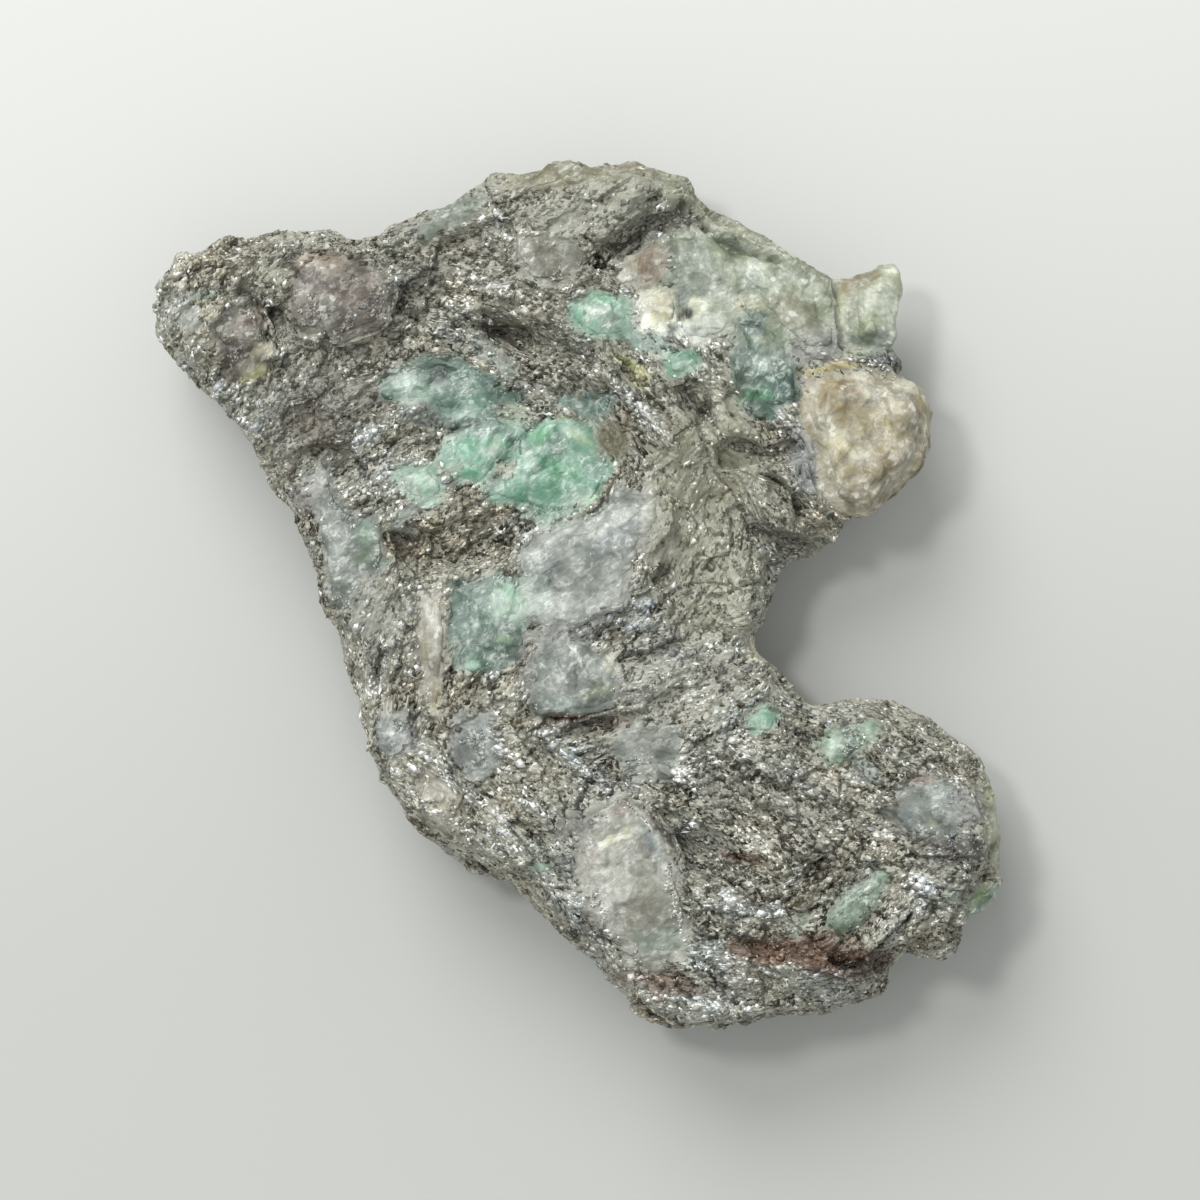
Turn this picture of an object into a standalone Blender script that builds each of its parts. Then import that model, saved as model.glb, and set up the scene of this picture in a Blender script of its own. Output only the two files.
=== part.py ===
"""Emerald in mica schist: a broken slab of dark schist, lying on its flat parting face.

The slab is one solid. Every crystal grown in it is a solid of its own, set in a pocket of the slab.
+Z is up, out of the show face. +X and +Y run along that face. Outlines are in millimetres, read
from above, with the origin under the middle of the stone.
"""

import bmesh
import bpy
import numpy as np
from mathutils import Vector, noise

# Driving dimensions of the slab, in millimetres
MM = 0.001
FACE_HEIGHT = 12.4
FACE_FALL_PER_MM = 0.045
FACE_FALL_TOWARDS = np.array((0.6, 0.8))
ROUGH_HEIGHT = 0.45
ROUGH_SIZE = 6.0
PLATE_LENGTH = 5.5
PLATE_WIDTH = 2.8
PLATE_TURN = 24
PLATE_STEP = 0.5
PLATE_TILT = 0.55
EDGE_CHANGE = 13.0
FACE_EDGE_DROP = (0.7, 2.6)
FACE_EDGE_WIDTH = 2.0
UNDERSIDE_EDGE_RISE = (1.2, 5.2)
UNDERSIDE_EDGE_WIDTH = 4.2
UNDERSIDE_HOLLOW = 1.6
UNDERSIDE_HOLLOW_SIZE = 9.0
WALL_BULGE = 0.8
WALL_LAYER = 1.7
WALL_LAYER_DIP = np.array((0.22, -0.12))
WALL_LEDGE = 1.3
WALL_LEDGE_SIZE = 4.5
WALL_OVERHANG = 0.35
WALL_DEEPEST = 2.5
LEAST_THICKNESS = 3.0
PLATE_SEED = 5

# How finely the slab and the crystals of its edge are built
VOXEL = 0.85
SLAB_TRIANGLES = 4300
LUMP_VOXEL = 0.6
REST_SNAP = 0.03

# How crystals sit in the slab, in millimetres
POCKET_GAP = 0.3
CRYSTAL_BEVEL = 0.35
TOP_FACETS = 3
FACET_TILT = (7.0, 19.0)
FACET_SEED = 11
LOWEST_CRYSTAL = 1.0
CUTTER_TOP = 30.0
THROUGH = -2.0

# The lumps that make part of the edge: how their top and underside round off, and how rough they are
LUMP_DROP = 1.8
LUMP_DROP_WIDTH = 2.2
LUMP_RISE = 2.4
LUMP_RISE_WIDTH = 2.6
LUMP_ROUGH = 0.8
LUMP_ROUGH_SIZE = 3.2
LUMP_WALL_SHARE = 0.1

# The slab's outline without the crystals that stick out of it, clockwise from the left tip
LEFT_TIP = [(-34.3, 23.3), (-34.0, 24.6), (-32.6, 26.6), (-32.2, 27.6), (-30.4, 28.2), (-26.4, 28.2)]
LEFT_TOP = [(-25.4, 28.3), (-25.0, 28.9), (-24.2, 29.1), (-23.0, 28.8), (-20.0, 29.0), (-17.8, 28.6)]
TOP_RISE = [(-15.8, 29.1), (-15.0, 30.0), (-13.0, 31.0), (-11.2, 31.4), (-8.0, 32.9), (-6.6, 33.8)]
CREST = [(-4.8, 33.9), (-2.8, 34.5), (-0.4, 34.7), (2.0, 34.7), (3.5, 35.0), (5.0, 34.7), (7.2, 33.5)]
SHELF_RIM = [(9.6, 33.1), (10.6, 32.0), (11.4, 31.2), (13.2, 30.6), (15.0, 29.6), (16.2, 28.6), (17.0, 27.5)]
BEHIND_TIP = [(18.4, 26.4), (20.0, 25.6), (22.4, 22.6), (24.4, 20.4), (25.9, 19.4), (26.6, 18.5)]
BEHIND_NODULE = [(25.8, 17.0), (24.6, 13.0), (23.0, 8.6), (21.6, 6.2), (21.0, 4.6), (19.8, 3.4), (19.0, 2.6)]
BAY = [(17.6, 2.5), (16.5, 2.7), (15.8, 1.9), (15.3, -0.1), (14.9, -2.2), (14.1, -3.2), (13.7, -5.1)]
BAY_FOOT = [(14.6, -5.4), (15.6, -5.8), (16.3, -7.0), (17.4, -8.4), (18.7, -9.0), (20.1, -9.3), (21.0, -8.7)]
LOBE = [(24.4, -8.7), (27.6, -9.6), (29.4, -10.9), (32.2, -13.3), (33.5, -16.5), (34.2, -20.3), (34.2, -22.6)]
LOBE_FOOT = [(33.2, -23.9), (31.9, -24.8), (31.0, -26.1), (30.8, -28.3), (30.0, -29.6), (28.2, -29.9)]
NOTCH = [(25.8, -29.4), (25.0, -29.9), (25.1, -31.9), (23.0, -32.9), (20.4, -33.8)]
FOOT = [(15.6, -34.7), (10.4, -35.1), (6.8, -34.8), (4.6, -33.8), (2.7, -31.9), (1.6, -30.3)]
LONG_EDGE = [(-0.8, -28.2), (-3.0, -25.5), (-4.8, -24.3), (-8.0, -23.0), (-11.6, -20.6), (-14.0, -18.3)]
SIDE = [(-16.0, -15.3), (-17.5, -11.8), (-18.2, -8.1), (-18.8, -5.1), (-19.4, -3.8), (-20.9, -2.0)]
UPPER_SIDE = [(-21.3, -0.1), (-21.2, 1.7), (-22.2, 3.8), (-24.2, 7.4), (-26.0, 10.9), (-27.4, 12.9)]
TIP_SIDE = [(-30.0, 15.4), (-32.2, 18.5), (-33.6, 20.1), (-34.2, 21.5)]
SLAB_OUTLINE = (
    LEFT_TIP + LEFT_TOP + TOP_RISE + CREST + SHELF_RIM + BEHIND_TIP + BEHIND_NODULE + BAY + BAY_FOOT
    + LOBE + LOBE_FOOT + NOTCH + FOOT + LONG_EDGE + SIDE + UPPER_SIDE + TIP_SIDE
)

# Mounds and hollows of the show face: x, y, half length, half width, turn in degrees, height
MOUNDS = {
    "left tip": (-28.6, 21.6, 5.0, 5.5, 0, 1.0),
    "rosy hill": (-19.5, 24.0, 6.0, 4.5, -10, 1.2),
    "foliated ridge": (2.0, 31.6, 9.5, 3.6, 14, 2.2),
    "dark basin": (-10.5, 26.0, 6.0, 3.6, 10, -1.5),
    "basin foot": (-7.0, 21.4, 4.6, 1.8, -22, -1.6),
    "deep hole": (-5.8, 20.6, 2.4, 1.0, -25, -2.4),
    "emerald hill": (-3.8, 10.4, 8.0, 4.2, 0, 1.2),
    "hollow below the emerald": (-8.6, 4.0, 6.6, 2.2, 12, -2.6),
    "hollow's left end": (-14.2, 3.7, 2.4, 1.2, -25, -1.8),
    "striated hill": (-0.5, 1.5, 6.0, 5.5, 35, 1.1),
    "wedge notch": (2.6, -3.6, 2.6, 0.9, 20, -2.0),
    "under the grey block": (0.8, -10.4, 4.2, 0.9, 6, -1.5),
    "olive slope": (10.5, 3.5, 4.4, 7.0, -12, -2.4),
    "fold above the bay": (16.2, 8.0, 4.2, 3.6, -30, 1.8),
    "saddle by the bay": (12.0, -3.5, 3.6, 3.2, 0, -1.6),
    "lobe hill": (27.2, -17.0, 7.0, 7.0, 0, 1.4),
    "lobe trough": (19.5, -12.8, 3.0, 3.6, 20, -1.0),
    "prism hill": (4.0, -23.4, 4.4, 8.2, 24, 0.9),
    "hollow by the prism": (8.8, -19.6, 1.6, 4.2, 40, -1.6),
    "red ledge": (18.5, -29.4, 7.0, 2.2, -6, 1.0),
}

# Long steps, grooves and shelves of the show face: points along it, half width, depth
GROOVES = {
    "shelf at the top right": ([(10.6, 32.6), (14.2, 30.4), (17.4, 27.4), (20.6, 25.0)], 2.7, 3.4),
    "groove under the ridge": ([(0.8, 25.6), (4.0, 28.0), (8.6, 30.2)], 1.1, 1.6),
    "groove at the left tip": ([(-26.4, 24.8), (-25.0, 23.4), (-24.6, 21.4)], 0.9, 1.7),
    "notch at the left tip": ([(-25.4, 28.2), (-25.8, 25.4)], 0.8, 1.2),
    "dark crevice": ([(7.6, 17.0), (10.2, 13.2), (11.6, 10.6)], 1.0, 1.5),
    "crevice over the fold": ([(12.0, 11.4), (15.0, 10.8), (17.8, 11.8)], 1.0, 2.6),
    "fold's own groove": ([(12.0, 9.4), (12.8, 6.6), (14.4, 4.4)], 0.7, 1.4),
    "crevice under the fold": ([(13.6, 4.2), (16.6, 3.8), (19.2, 3.2)], 1.0, 2.6),
    "groove by the pale vein": ([(-10.4, -7.0), (-10.6, -9.6), (-10.5, -12.4)], 0.6, 0.9),
    "lower left rim": ([(-13.0, -19.4), (-8.2, -22.4), (-4.6, -23.8)], 2.6, 1.5),
    "under the red ledge": ([(13.6, -31.4), (19.0, -32.6), (25.0, -31.4)], 1.5, 1.6),
    "crack across the lobe": ([(24.6, -9.4), (26.0, -11.6), (25.6, -13.6)], 0.7, 0.9),
}

# Colours of the minerals, with roughness
MINERALS = {
    "schist": ((0.13, 0.13, 0.12), 0.55),
    "emerald": ((0.16, 0.42, 0.27), 0.3),
    "beryl": ((0.36, 0.42, 0.41), 0.35),
    "quartz": ((0.62, 0.60, 0.52), 0.4),
}

# Crystals: mineral, how far they go down, how far they stand proud, and their outline in the face
CRYSTALS = {
    "emerald_right": ("emerald", 5.0, 0.7, [
        (-7.4, 8.2), (-6.4, 10.1), (-4.5, 12.0), (-2.8, 13.2), (-1.4, 13.6),
        (0.9, 12.6), (2.2, 9.9), (0.4, 6.6), (-1.7, 6.2), (-4.7, 7.1)]),
    "emerald_left": ("emerald", 4.5, 0.6, [
        (-10.7, 12.1), (-7.6, 13.1), (-4.0, 13.7), (-4.9, 12.4), (-6.9, 10.4), (-7.9, 8.6),
        (-9.9, 9.2), (-10.9, 10.6)]),
    "emerald_teal_band": ("emerald", 3.5, 0.4, [
        (-16.2, 15.4), (-14.6, 18.0), (-11.8, 19.0), (-8.3, 18.0), (-6.4, 16.6), (-4.8, 15.2),
        (-6.0, 14.3), (-8.2, 13.9), (-10.2, 13.5), (-11.4, 14.6), (-14.0, 14.9)]),
    "emerald_sliver": ("emerald", 3.0, 0.4, [
        (-2.2, 14.8), (-0.8, 15.5), (2.3, 15.8), (2.2, 14.4), (1.2, 13.5), (-1.6, 14.2)]),
    "emerald_mint": ("emerald", 3.5, 0.7, [
        (-0.8, 23.0), (1.4, 23.8), (3.3, 23.5), (3.8, 21.8), (3.5, 20.6), (1.4, 20.5), (-0.3, 21.6)]),
    "emerald_chip": ("emerald", 2.0, 0.5, [(7.0, 18.8), (8.5, 19.2), (9.4, 18.3), (8.6, 17.5), (7.4, 17.7)]),
    "emerald_deep": ("emerald", 4.5, 0.7, [
        (12.2, 19.0), (13.5, 21.3), (15.4, 20.8), (16.8, 19.2), (17.2, 15.8), (14.9, 14.3),
        (13.5, 14.3), (12.6, 15.8)]),
    "emerald_lobe_splinter": ("emerald", 2.6, 0.5, [
        (19.4, -12.3), (20.4, -11.4), (22.8, -10.7), (23.7, -11.0), (22.6, -12.1), (21.2, -13.1),
        (19.8, -13.3)]),
    "emerald_lobe_streak": ("emerald", 2.6, 0.5, [
        (19.8, -25.9), (22.1, -23.7), (24.5, -22.2), (24.0, -23.8), (22.8, -25.2), (21.5, -26.6),
        (20.2, -26.7)]),
    "emerald_bay_chip": ("emerald", 2.0, 0.4, [
        (13.7, -10.1), (14.7, -9.6), (15.4, -10.2), (15.2, -11.0), (14.0, -11.0)]),
    "emerald_rim_chip": ("emerald", 7.0, 0.2, [
        (31.2, -26.1), (30.9, -25.0), (31.6, -24.0), (32.8, -23.6), (33.6, -24.1), (33.1, -25.0),
        (32.3, -25.7)]),
    "beryl_mint_grain": ("beryl", 2.6, 0.5, [
        (-14.4, 9.2), (-12.2, 9.7), (-11.4, 8.9), (-11.2, 8.1), (-12.2, 7.4), (-13.7, 7.8)]),
    "beryl_striated": ("beryl", 4.5, 0.6, [
        (3.0, 8.2), (6.0, 7.6), (6.2, 5.7), (4.0, 2.9), (3.6, -0.4), (-0.6, -3.0), (-3.2, -2.3),
        (-4.5, 0.6), (-4.5, 3.1), (-1.2, 5.1), (1.4, 6.2)]),
    "beryl_teal_block": ("beryl", 4.5, 0.6, [
        (-10.2, 0.6), (-7.1, 1.6), (-5.3, 1.0), (-5.1, 0.0), (-4.3, -2.6), (-4.7, -4.8), (-7.4, -5.9),
        (-8.8, -6.5), (-10.0, -5.8), (-10.4, -3.1)]),
    "beryl_grey_block": ("beryl", 4.0, 0.7, [
        (-3.4, -4.0), (-0.4, -3.9), (1.6, -5.2), (3.0, -6.4), (2.5, -8.6), (-0.3, -9.4), (-3.6, -9.9),
        (-4.0, -7.0)]),
    "beryl_prism": ("beryl", 5.0, 0.6, [
        (0.6, -18.0), (3.3, -16.4), (5.0, -18.0), (6.7, -19.9), (7.4, -22.6), (8.0, -25.6), (8.7, -29.0),
        (6.5, -30.5), (4.2, -29.5), (2.8, -26.8), (0.9, -25.1), (-0.2, -21.9)]),
    "beryl_side_patch": ("beryl", 2.6, 0.4, [
        (-21.8, 9.0), (-20.4, 9.4), (-19.6, 7.2), (-18.4, 5.9), (-16.6, 5.9), (-15.9, 3.2), (-16.2, 1.4),
        (-17.6, 0.4), (-18.3, -1.2), (-19.7, -0.6), (-20.0, 2.4), (-20.9, 5.8)]),
    "beryl_blue_patch": ("beryl", 2.8, 0.3, [
        (-9.6, -9.9), (-7.6, -9.7), (-6.8, -11.9), (-7.4, -14.6), (-9.2, -15.0), (-9.8, -12.3)]),
    "beryl_small_patch": ("beryl", 2.0, 0.3, [
        (-15.8, -10.0), (-14.0, -9.8), (-13.6, -12.0), (-14.6, -13.2), (-15.8, -12.2)]),
    "beryl_middle_patch": ("beryl", 2.8, 0.2, [
        (2.6, -11.7), (4.8, -10.7), (7.6, -11.1), (8.4, -12.7), (7.2, -14.4), (4.8, -14.6), (3.4, -13.5)]),
    "beryl_lobe_patch": ("beryl", 3.0, 0.4, [
        (24.8, -17.1), (26.0, -15.9), (28.4, -15.0), (30.0, -16.3), (30.6, -17.9), (30.0, -19.5),
        (28.0, -19.5), (26.0, -18.5)]),
    "beryl_tip_patch": ("beryl", 3.0, 0.5, [
        (-29.2, 21.3), (-27.8, 22.7), (-26.2, 22.9), (-25.5, 20.9), (-24.9, 19.1), (-25.4, 17.5),
        (-27.2, 16.8), (-28.2, 18.8)]),
    "beryl_rosy": ("beryl", 3.5, 0.5, [
        (-22.8, 24.1), (-21.8, 26.2), (-19.2, 26.5), (-16.4, 25.6), (-15.4, 23.7), (-16.4, 21.7),
        (-19.2, 20.6), (-22.2, 21.3)]),
    "beryl_grey_green": ("beryl", 4.0, 0.5, [
        (8.4, 29.2), (9.7, 28.8), (11.9, 26.8), (12.1, 24.2), (8.1, 24.2), (7.4, 25.8), (7.1, 27.8)]),
    "beryl_pale_right": ("beryl", 4.5, 0.5, [
        (12.7, 26.5), (14.5, 26.5), (16.9, 25.5), (19.4, 24.4), (20.1, 23.3), (20.1, 19.8), (18.0, 19.7),
        (16.9, 20.9), (15.4, 22.5), (13.1, 24.1)]),
    "beryl_tip": ("beryl", 7.0, 0.2, [
        (20.9, 24.8), (23.4, 25.9), (25.0, 26.6), (25.8, 26.2), (25.9, 24.5), (25.4, 21.3), (25.6, 19.9),
        (23.2, 19.0), (21.0, 19.4), (20.8, 22.0)]),
    "feldspar_pink": ("quartz", 3.0, 0.5, [
        (2.7, 25.1), (3.8, 26.3), (6.2, 27.7), (6.6, 26.0), (5.8, 24.8), (3.4, 24.3)]),
    "feldspar_vein": ("quartz", 2.6, 0.5, [
        (-12.5, -0.1), (-11.1, 0.0), (-11.0, -3.0), (-11.2, -6.0), (-11.5, -10.0), (-12.3, -10.0),
        (-12.3, -6.5), (-12.7, -3.5)]),
    "quartz_cream": ("quartz", 3.5, 0.6, [(4.5, 23.3), (7.1, 24.1), (7.6, 22.6), (6.9, 21.0), (4.7, 20.9)]),
    "quartz_white": ("quartz", 3.5, 0.6, [
        (8.5, 23.4), (11.8, 23.5), (12.3, 22.0), (11.4, 20.8), (9.8, 20.3), (7.8, 20.3), (8.3, 21.7)]),
    "quartz_lump": ("quartz", 4.0, 1.2, [
        (-4.8, 28.1), (-2.8, 28.5), (-0.4, 27.7), (0.0, 26.1), (-1.6, 24.9), (-3.6, 25.3), (-4.6, 26.6)]),
    "quartz_corner_chip": ("quartz", 2.0, 0.5, [
        (-12.2, -14.6), (-10.4, -15.6), (-10.9, -16.7), (-12.6, -16.6)]),
    "quartz_nodule": ("quartz", 9.5, 1.4, [
        (18.0, 17.6), (20.8, 18.2), (24.1, 17.4), (27.0, 17.2), (27.8, 15.9), (28.2, 14.3), (28.1, 11.7),
        (27.5, 9.9), (25.4, 7.8), (23.8, 6.2), (22.0, 5.8), (20.0, 6.8), (19.0, 8.6), (18.5, 11.0),
        (17.6, 13.2), (17.8, 15.6)]),
}

# Crystals that form part of the edge, with their triangles: their pocket goes right through the slab
EDGE_CRYSTALS = {"quartz_nodule": 420, "beryl_tip": 220, "emerald_rim_chip": 90}


def clear_scene():
    for old in list(bpy.data.objects):
        bpy.data.objects.remove(old)


def mineral_material(name):
    colour, roughness = MINERALS[name]
    material = bpy.data.materials.new(name)
    material.use_nodes = True
    shader = material.node_tree.nodes["Principled BSDF"]
    shader.inputs["Base Color"].default_value = (*colour, 1.0)
    shader.inputs["Roughness"].default_value = roughness
    return material


def smooth_step(low, high, value):
    share = np.clip((value - low) / (high - low), 0.0, 1.0)
    return share * share * (3.0 - 2.0 * share)


def distance_to_path(points, path, closed=False):
    """How far each point in the plane is from a path of straight runs."""
    nearest = np.full(len(points), np.inf)
    starts = np.array(path)
    ends = np.roll(starts, -1, axis=0)
    if not closed:
        starts, ends = starts[:-1], ends[:-1]
    for start, end in zip(starts, ends):
        run = end - start
        along = np.clip((points - start) @ run / (run @ run), 0.0, 1.0)
        offset = points - (start + along[:, None] * run)
        nearest = np.minimum(nearest, np.hypot(offset[:, 0], offset[:, 1]))
    return nearest


def roughness_at(points, size, layers=3):
    """Layered noise from about -1 to 1, the same each run."""
    total = np.zeros(len(points))
    for layer in range(layers):
        scale = 2.0**layer / size
        wave = [noise.noise(Vector((x * scale, y * scale, 7.3 * layer))) for x, y in points]
        total += np.array(wave) / 1.7**layer
    return total


def between(limits, points):
    """A value that drifts from one limit to the other and back over the stone."""
    share = np.clip(0.5 + 0.9 * roughness_at(points + 70.0, EDGE_CHANGE, 2), 0.0, 1.0)
    return limits[0] + share * (limits[1] - limits[0])


def mounds_at(points):
    total = np.zeros(len(points))
    for x, y, half_length, half_width, turn, height in MOUNDS.values():
        angle = np.radians(turn)
        along = (points - (x, y)) @ (np.cos(angle), np.sin(angle)) / half_length
        across = (points - (x, y)) @ (-np.sin(angle), np.cos(angle)) / half_width
        total += height * (1.0 - smooth_step(0.35, 1.15, np.hypot(along, across)))
    return total


def grooves_at(points):
    total = np.zeros(len(points))
    for path, half_width, depth in GROOVES.values():
        total -= depth * (1.0 - smooth_step(0.3 * half_width, half_width, distance_to_path(points, path)))
    return total


def plates_at(points):
    """Steps and tilts of the thin plates that the schist breaks into, longer along its grain."""
    angle = np.radians(PLATE_TURN)
    along = points @ (np.cos(angle), np.sin(angle)) / PLATE_LENGTH
    across = points @ (-np.sin(angle), np.cos(angle)) / PLATE_WIDTH
    rows = range(-int(50 / PLATE_LENGTH), int(50 / PLATE_LENGTH) + 1)
    columns = range(-int(50 / PLATE_WIDTH), int(50 / PLATE_WIDTH) + 1)
    draw = np.random.default_rng(PLATE_SEED)
    cells = np.array([(row, column) for row in rows for column in columns], float)
    middles = cells + draw.uniform(-0.45, 0.45, cells.shape)
    steps = draw.uniform(-PLATE_STEP, PLATE_STEP, len(cells))
    tilts = draw.normal(0.0, PLATE_TILT, cells.shape)
    places = np.column_stack([along, across])
    nearest = np.array([np.argmin(np.sum((middles - place) ** 2, axis=1)) for place in places])
    return steps[nearest] + np.sum((places - middles[nearest]) * tilts[nearest], axis=1)


def face_height(points):
    """Height of the show face, before it rounds off at the edge."""
    points = np.asarray(points, float)
    fall = FACE_FALL_PER_MM * (points @ FACE_FALL_TOWARDS)
    rough = ROUGH_HEIGHT * roughness_at(points, ROUGH_SIZE) + plates_at(points)
    return FACE_HEIGHT - fall + mounds_at(points) + grooves_at(points) + rough


def underside_height(points, edge):
    """Height of the underside: flat where the stone parted along its mica, hollow or rising elsewhere."""
    rise = between(UNDERSIDE_EDGE_RISE, points) * (1.0 - smooth_step(0.0, UNDERSIDE_EDGE_WIDTH, edge))
    hollow = UNDERSIDE_HOLLOW * roughness_at(points + 40.0, UNDERSIDE_HOLLOW_SIZE)
    return np.maximum(0.0, rise + hollow - 0.25)


def wall_depth(points):
    """How far the broken wall stands in from the outline, stepping from layer to layer."""
    layer = np.floor((points[:, 2] + points[:, :2] @ WALL_LAYER_DIP) / WALL_LAYER)
    places = np.column_stack([points[:, :2] / WALL_LEDGE_SIZE, 5.3 * layer])
    wave = np.array([noise.noise(Vector(place)) for place in places])
    return WALL_LEDGE * (wave + 0.4) - WALL_OVERHANG


def prism(name, outline, low, high):
    """A closed prism over an outline in the plane, from height low to high, in millimetres."""
    curve = bpy.data.curves.new(name, "CURVE")
    curve.dimensions = "2D"
    curve.fill_mode = "BOTH"
    curve.extrude = (high - low) / 2 * MM
    spline = curve.splines.new("POLY")
    spline.points.add(len(outline) - 1)
    for point, (x, y) in zip(spline.points, outline):
        point.co = (x * MM, y * MM, 0.0, 1.0)
    spline.use_cyclic_u = True
    flat = bpy.data.objects.new(name, curve)
    flat.location.z = (low + high) / 2 * MM
    bpy.context.scene.collection.objects.link(flat)
    solid = as_mesh_object(flat)
    bpy.data.objects.remove(flat)
    solid.name = name
    return solid


def as_mesh_object(source):
    """A new mesh object with the source's evaluated shape, its place applied and its seams welded."""
    bpy.context.view_layer.update()
    evaluated = source.evaluated_get(bpy.context.evaluated_depsgraph_get())
    mesh = bpy.data.meshes.new_from_object(evaluated)
    mesh.transform(source.matrix_world)
    shape = bmesh.new()
    shape.from_mesh(mesh)
    bmesh.ops.remove_doubles(shape, verts=shape.verts, dist=1e-6)
    bmesh.ops.recalc_face_normals(shape, faces=shape.faces)
    shape.to_mesh(mesh)
    shape.free()
    made = bpy.data.objects.new(source.name + "_mesh", mesh)
    bpy.context.scene.collection.objects.link(made)
    return made


def applied(source, kind, **settings):
    """The object with one modifier worked into its mesh."""
    modifier = source.modifiers.new(kind.title(), kind)
    for name, value in settings.items():
        setattr(modifier, name, value)
    made = as_mesh_object(source)
    name = source.name
    bpy.data.objects.remove(source)
    made.name = name
    return made


def points_of(mesh):
    """A mesh's points in millimetres, one row each."""
    points = np.empty(len(mesh.vertices) * 3)
    mesh.vertices.foreach_get("co", points)
    return points.reshape(-1, 3) / MM


def move_points(mesh, points):
    mesh.vertices.foreach_set("co", (points * MM).ravel())
    mesh.update()


def grown(outline, by):
    """The outline moved outwards by a distance, with each corner kept a corner."""
    corners = np.array(outline)
    before = corners - np.roll(corners, 1, axis=0)
    after = np.roll(corners, -1, axis=0) - corners
    before /= np.linalg.norm(before, axis=1)[:, None]
    after /= np.linalg.norm(after, axis=1)[:, None]
    turn = np.roll(corners, -1, axis=0)
    area = np.sum(corners[:, 0] * turn[:, 1] - turn[:, 0] * corners[:, 1])
    side = 1.0 if area > 0 else -1.0
    bisector = (before + after) @ np.array(((0.0, -1.0), (1.0, 0.0))) * side
    bisector /= np.linalg.norm(bisector, axis=1)[:, None]
    normal = before @ np.array(((0.0, -1.0), (1.0, 0.0))) * side
    stretch = np.maximum(np.sum(bisector * normal, axis=1), 0.5)
    return corners + bisector * (by / stretch)[:, None]


def sculpt(mesh, outline, full_height, top_of, bottom_of, wall_range):
    """Gives an even-sided slab its top, underside and broken walls."""
    points = points_of(mesh)
    plan = points[:, :2].copy()
    share = np.clip(points[:, 2] / full_height, 0.0, 1.0)
    edge = distance_to_path(plan, outline, closed=True)
    bottom = bottom_of(plan, edge)
    top = np.maximum(top_of(plan, edge), bottom + LEAST_THICKNESS)
    points[:, 2] = bottom + share * (top - bottom)

    at_wall = 1.0 - smooth_step(0.2, 1.6, edge)
    bulge = WALL_BULGE * (2.0 * share - 1.0) ** 2
    depth = np.clip(bulge + wall_depth(points), *wall_range)
    points[:, :2] += inward_of(plan, outline) * (at_wall * depth)[:, None]
    move_points(mesh, points)


def inward_of(plan, outline):
    """The direction into the stone, across its nearest corner, for each point in the plane."""
    corners = np.array(outline)
    ahead, behind = np.roll(corners, -1, axis=0), np.roll(corners, 1, axis=0)
    across = (ahead - behind) @ np.array(((0.0, -1.0), (1.0, 0.0)))
    nearest = np.argmin(np.linalg.norm(plan[:, None] - corners[None], axis=2), axis=1)
    return across[nearest] / np.linalg.norm(across[nearest], axis=1)[:, None]


def slab_top(plan, edge):
    drop = between(FACE_EDGE_DROP, plan) * (1.0 - smooth_step(0.0, FACE_EDGE_WIDTH, edge))
    return face_height(plan) - drop


def schist_slab():
    full_height = FACE_HEIGHT + 2.0
    slab = prism("schist_matrix", SLAB_OUTLINE, 0.0, full_height)
    slab = applied(slab, "REMESH", mode="VOXEL", voxel_size=VOXEL * MM)
    sculpt(slab.data, SLAB_OUTLINE, full_height, slab_top, underside_height, (-WALL_OVERHANG, WALL_DEEPEST))
    triangles = 2 * len(slab.data.polygons)
    slab = applied(slab, "DECIMATE", ratio=SLAB_TRIANGLES / triangles)
    points = points_of(slab.data)
    points[points[:, 2] < REST_SNAP, 2] = 0.0
    move_points(slab.data, points)
    return slab


def face_plane(outline):
    """The flat plane that lies best on the show face inside an outline: slope x, slope y, height."""
    corners = np.array(outline)
    middle = corners.mean(axis=0)
    samples = np.vstack([corners, (corners + middle) / 2, middle[None]])
    terms = np.column_stack([samples, np.ones(len(samples))])
    return np.linalg.lstsq(terms, face_height(samples), rcond=None)[0]


def break_top(mesh, outline, plane, draw):
    """Cuts slanting faces across a crystal's top, where it broke."""
    middle = np.mean(outline, axis=0)
    reach = np.min(np.linalg.norm(np.array(outline) - middle, axis=1))
    first = draw.uniform(0.0, 360.0)
    shape = bmesh.new()
    shape.from_mesh(mesh)
    for facet in range(TOP_FACETS):
        heading = np.radians(first + facet * 360.0 / TOP_FACETS + draw.uniform(-25.0, 25.0))
        outward = np.array((np.cos(heading), np.sin(heading)))
        tilt = np.radians(draw.uniform(*FACET_TILT))
        spot = middle + outward * reach * draw.uniform(0.1, 0.6)
        bmesh.ops.bisect_plane(
            shape,
            geom=shape.verts[:] + shape.edges[:] + shape.faces[:],
            plane_co=Vector((*spot, spot @ plane[:2] + plane[2])) * MM,
            plane_no=(*(outward * np.sin(tilt)), np.cos(tilt)),
            clear_outer=True,
        )
        rim = [edge for edge in shape.edges if edge.is_boundary]
        bmesh.ops.holes_fill(shape, edges=rim, sides=0)
    bmesh.ops.recalc_face_normals(shape, faces=shape.faces)
    shape.to_mesh(mesh)
    shape.free()


def crystal(name, depth, proud, outline, draw):
    """A flat-faced crystal: a prism on its outline, its top lying along the face, broken in facets."""
    plane = face_plane(outline)
    plane[2] += proud
    low = max(np.min(np.array(outline) @ plane[:2] + plane[2]) - depth, LOWEST_CRYSTAL)
    solid = prism(name, outline, low, low + 1.0)
    points = points_of(solid.data)
    is_top = points[:, 2] > low + 0.5
    points[is_top, 2] = points[is_top, :2] @ plane[:2] + plane[2]
    move_points(solid.data, points)
    break_top(solid.data, outline, plane, draw)
    return applied(solid, "BEVEL", width=CRYSTAL_BEVEL * MM, segments=1, limit_method="ANGLE"), low


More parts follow.
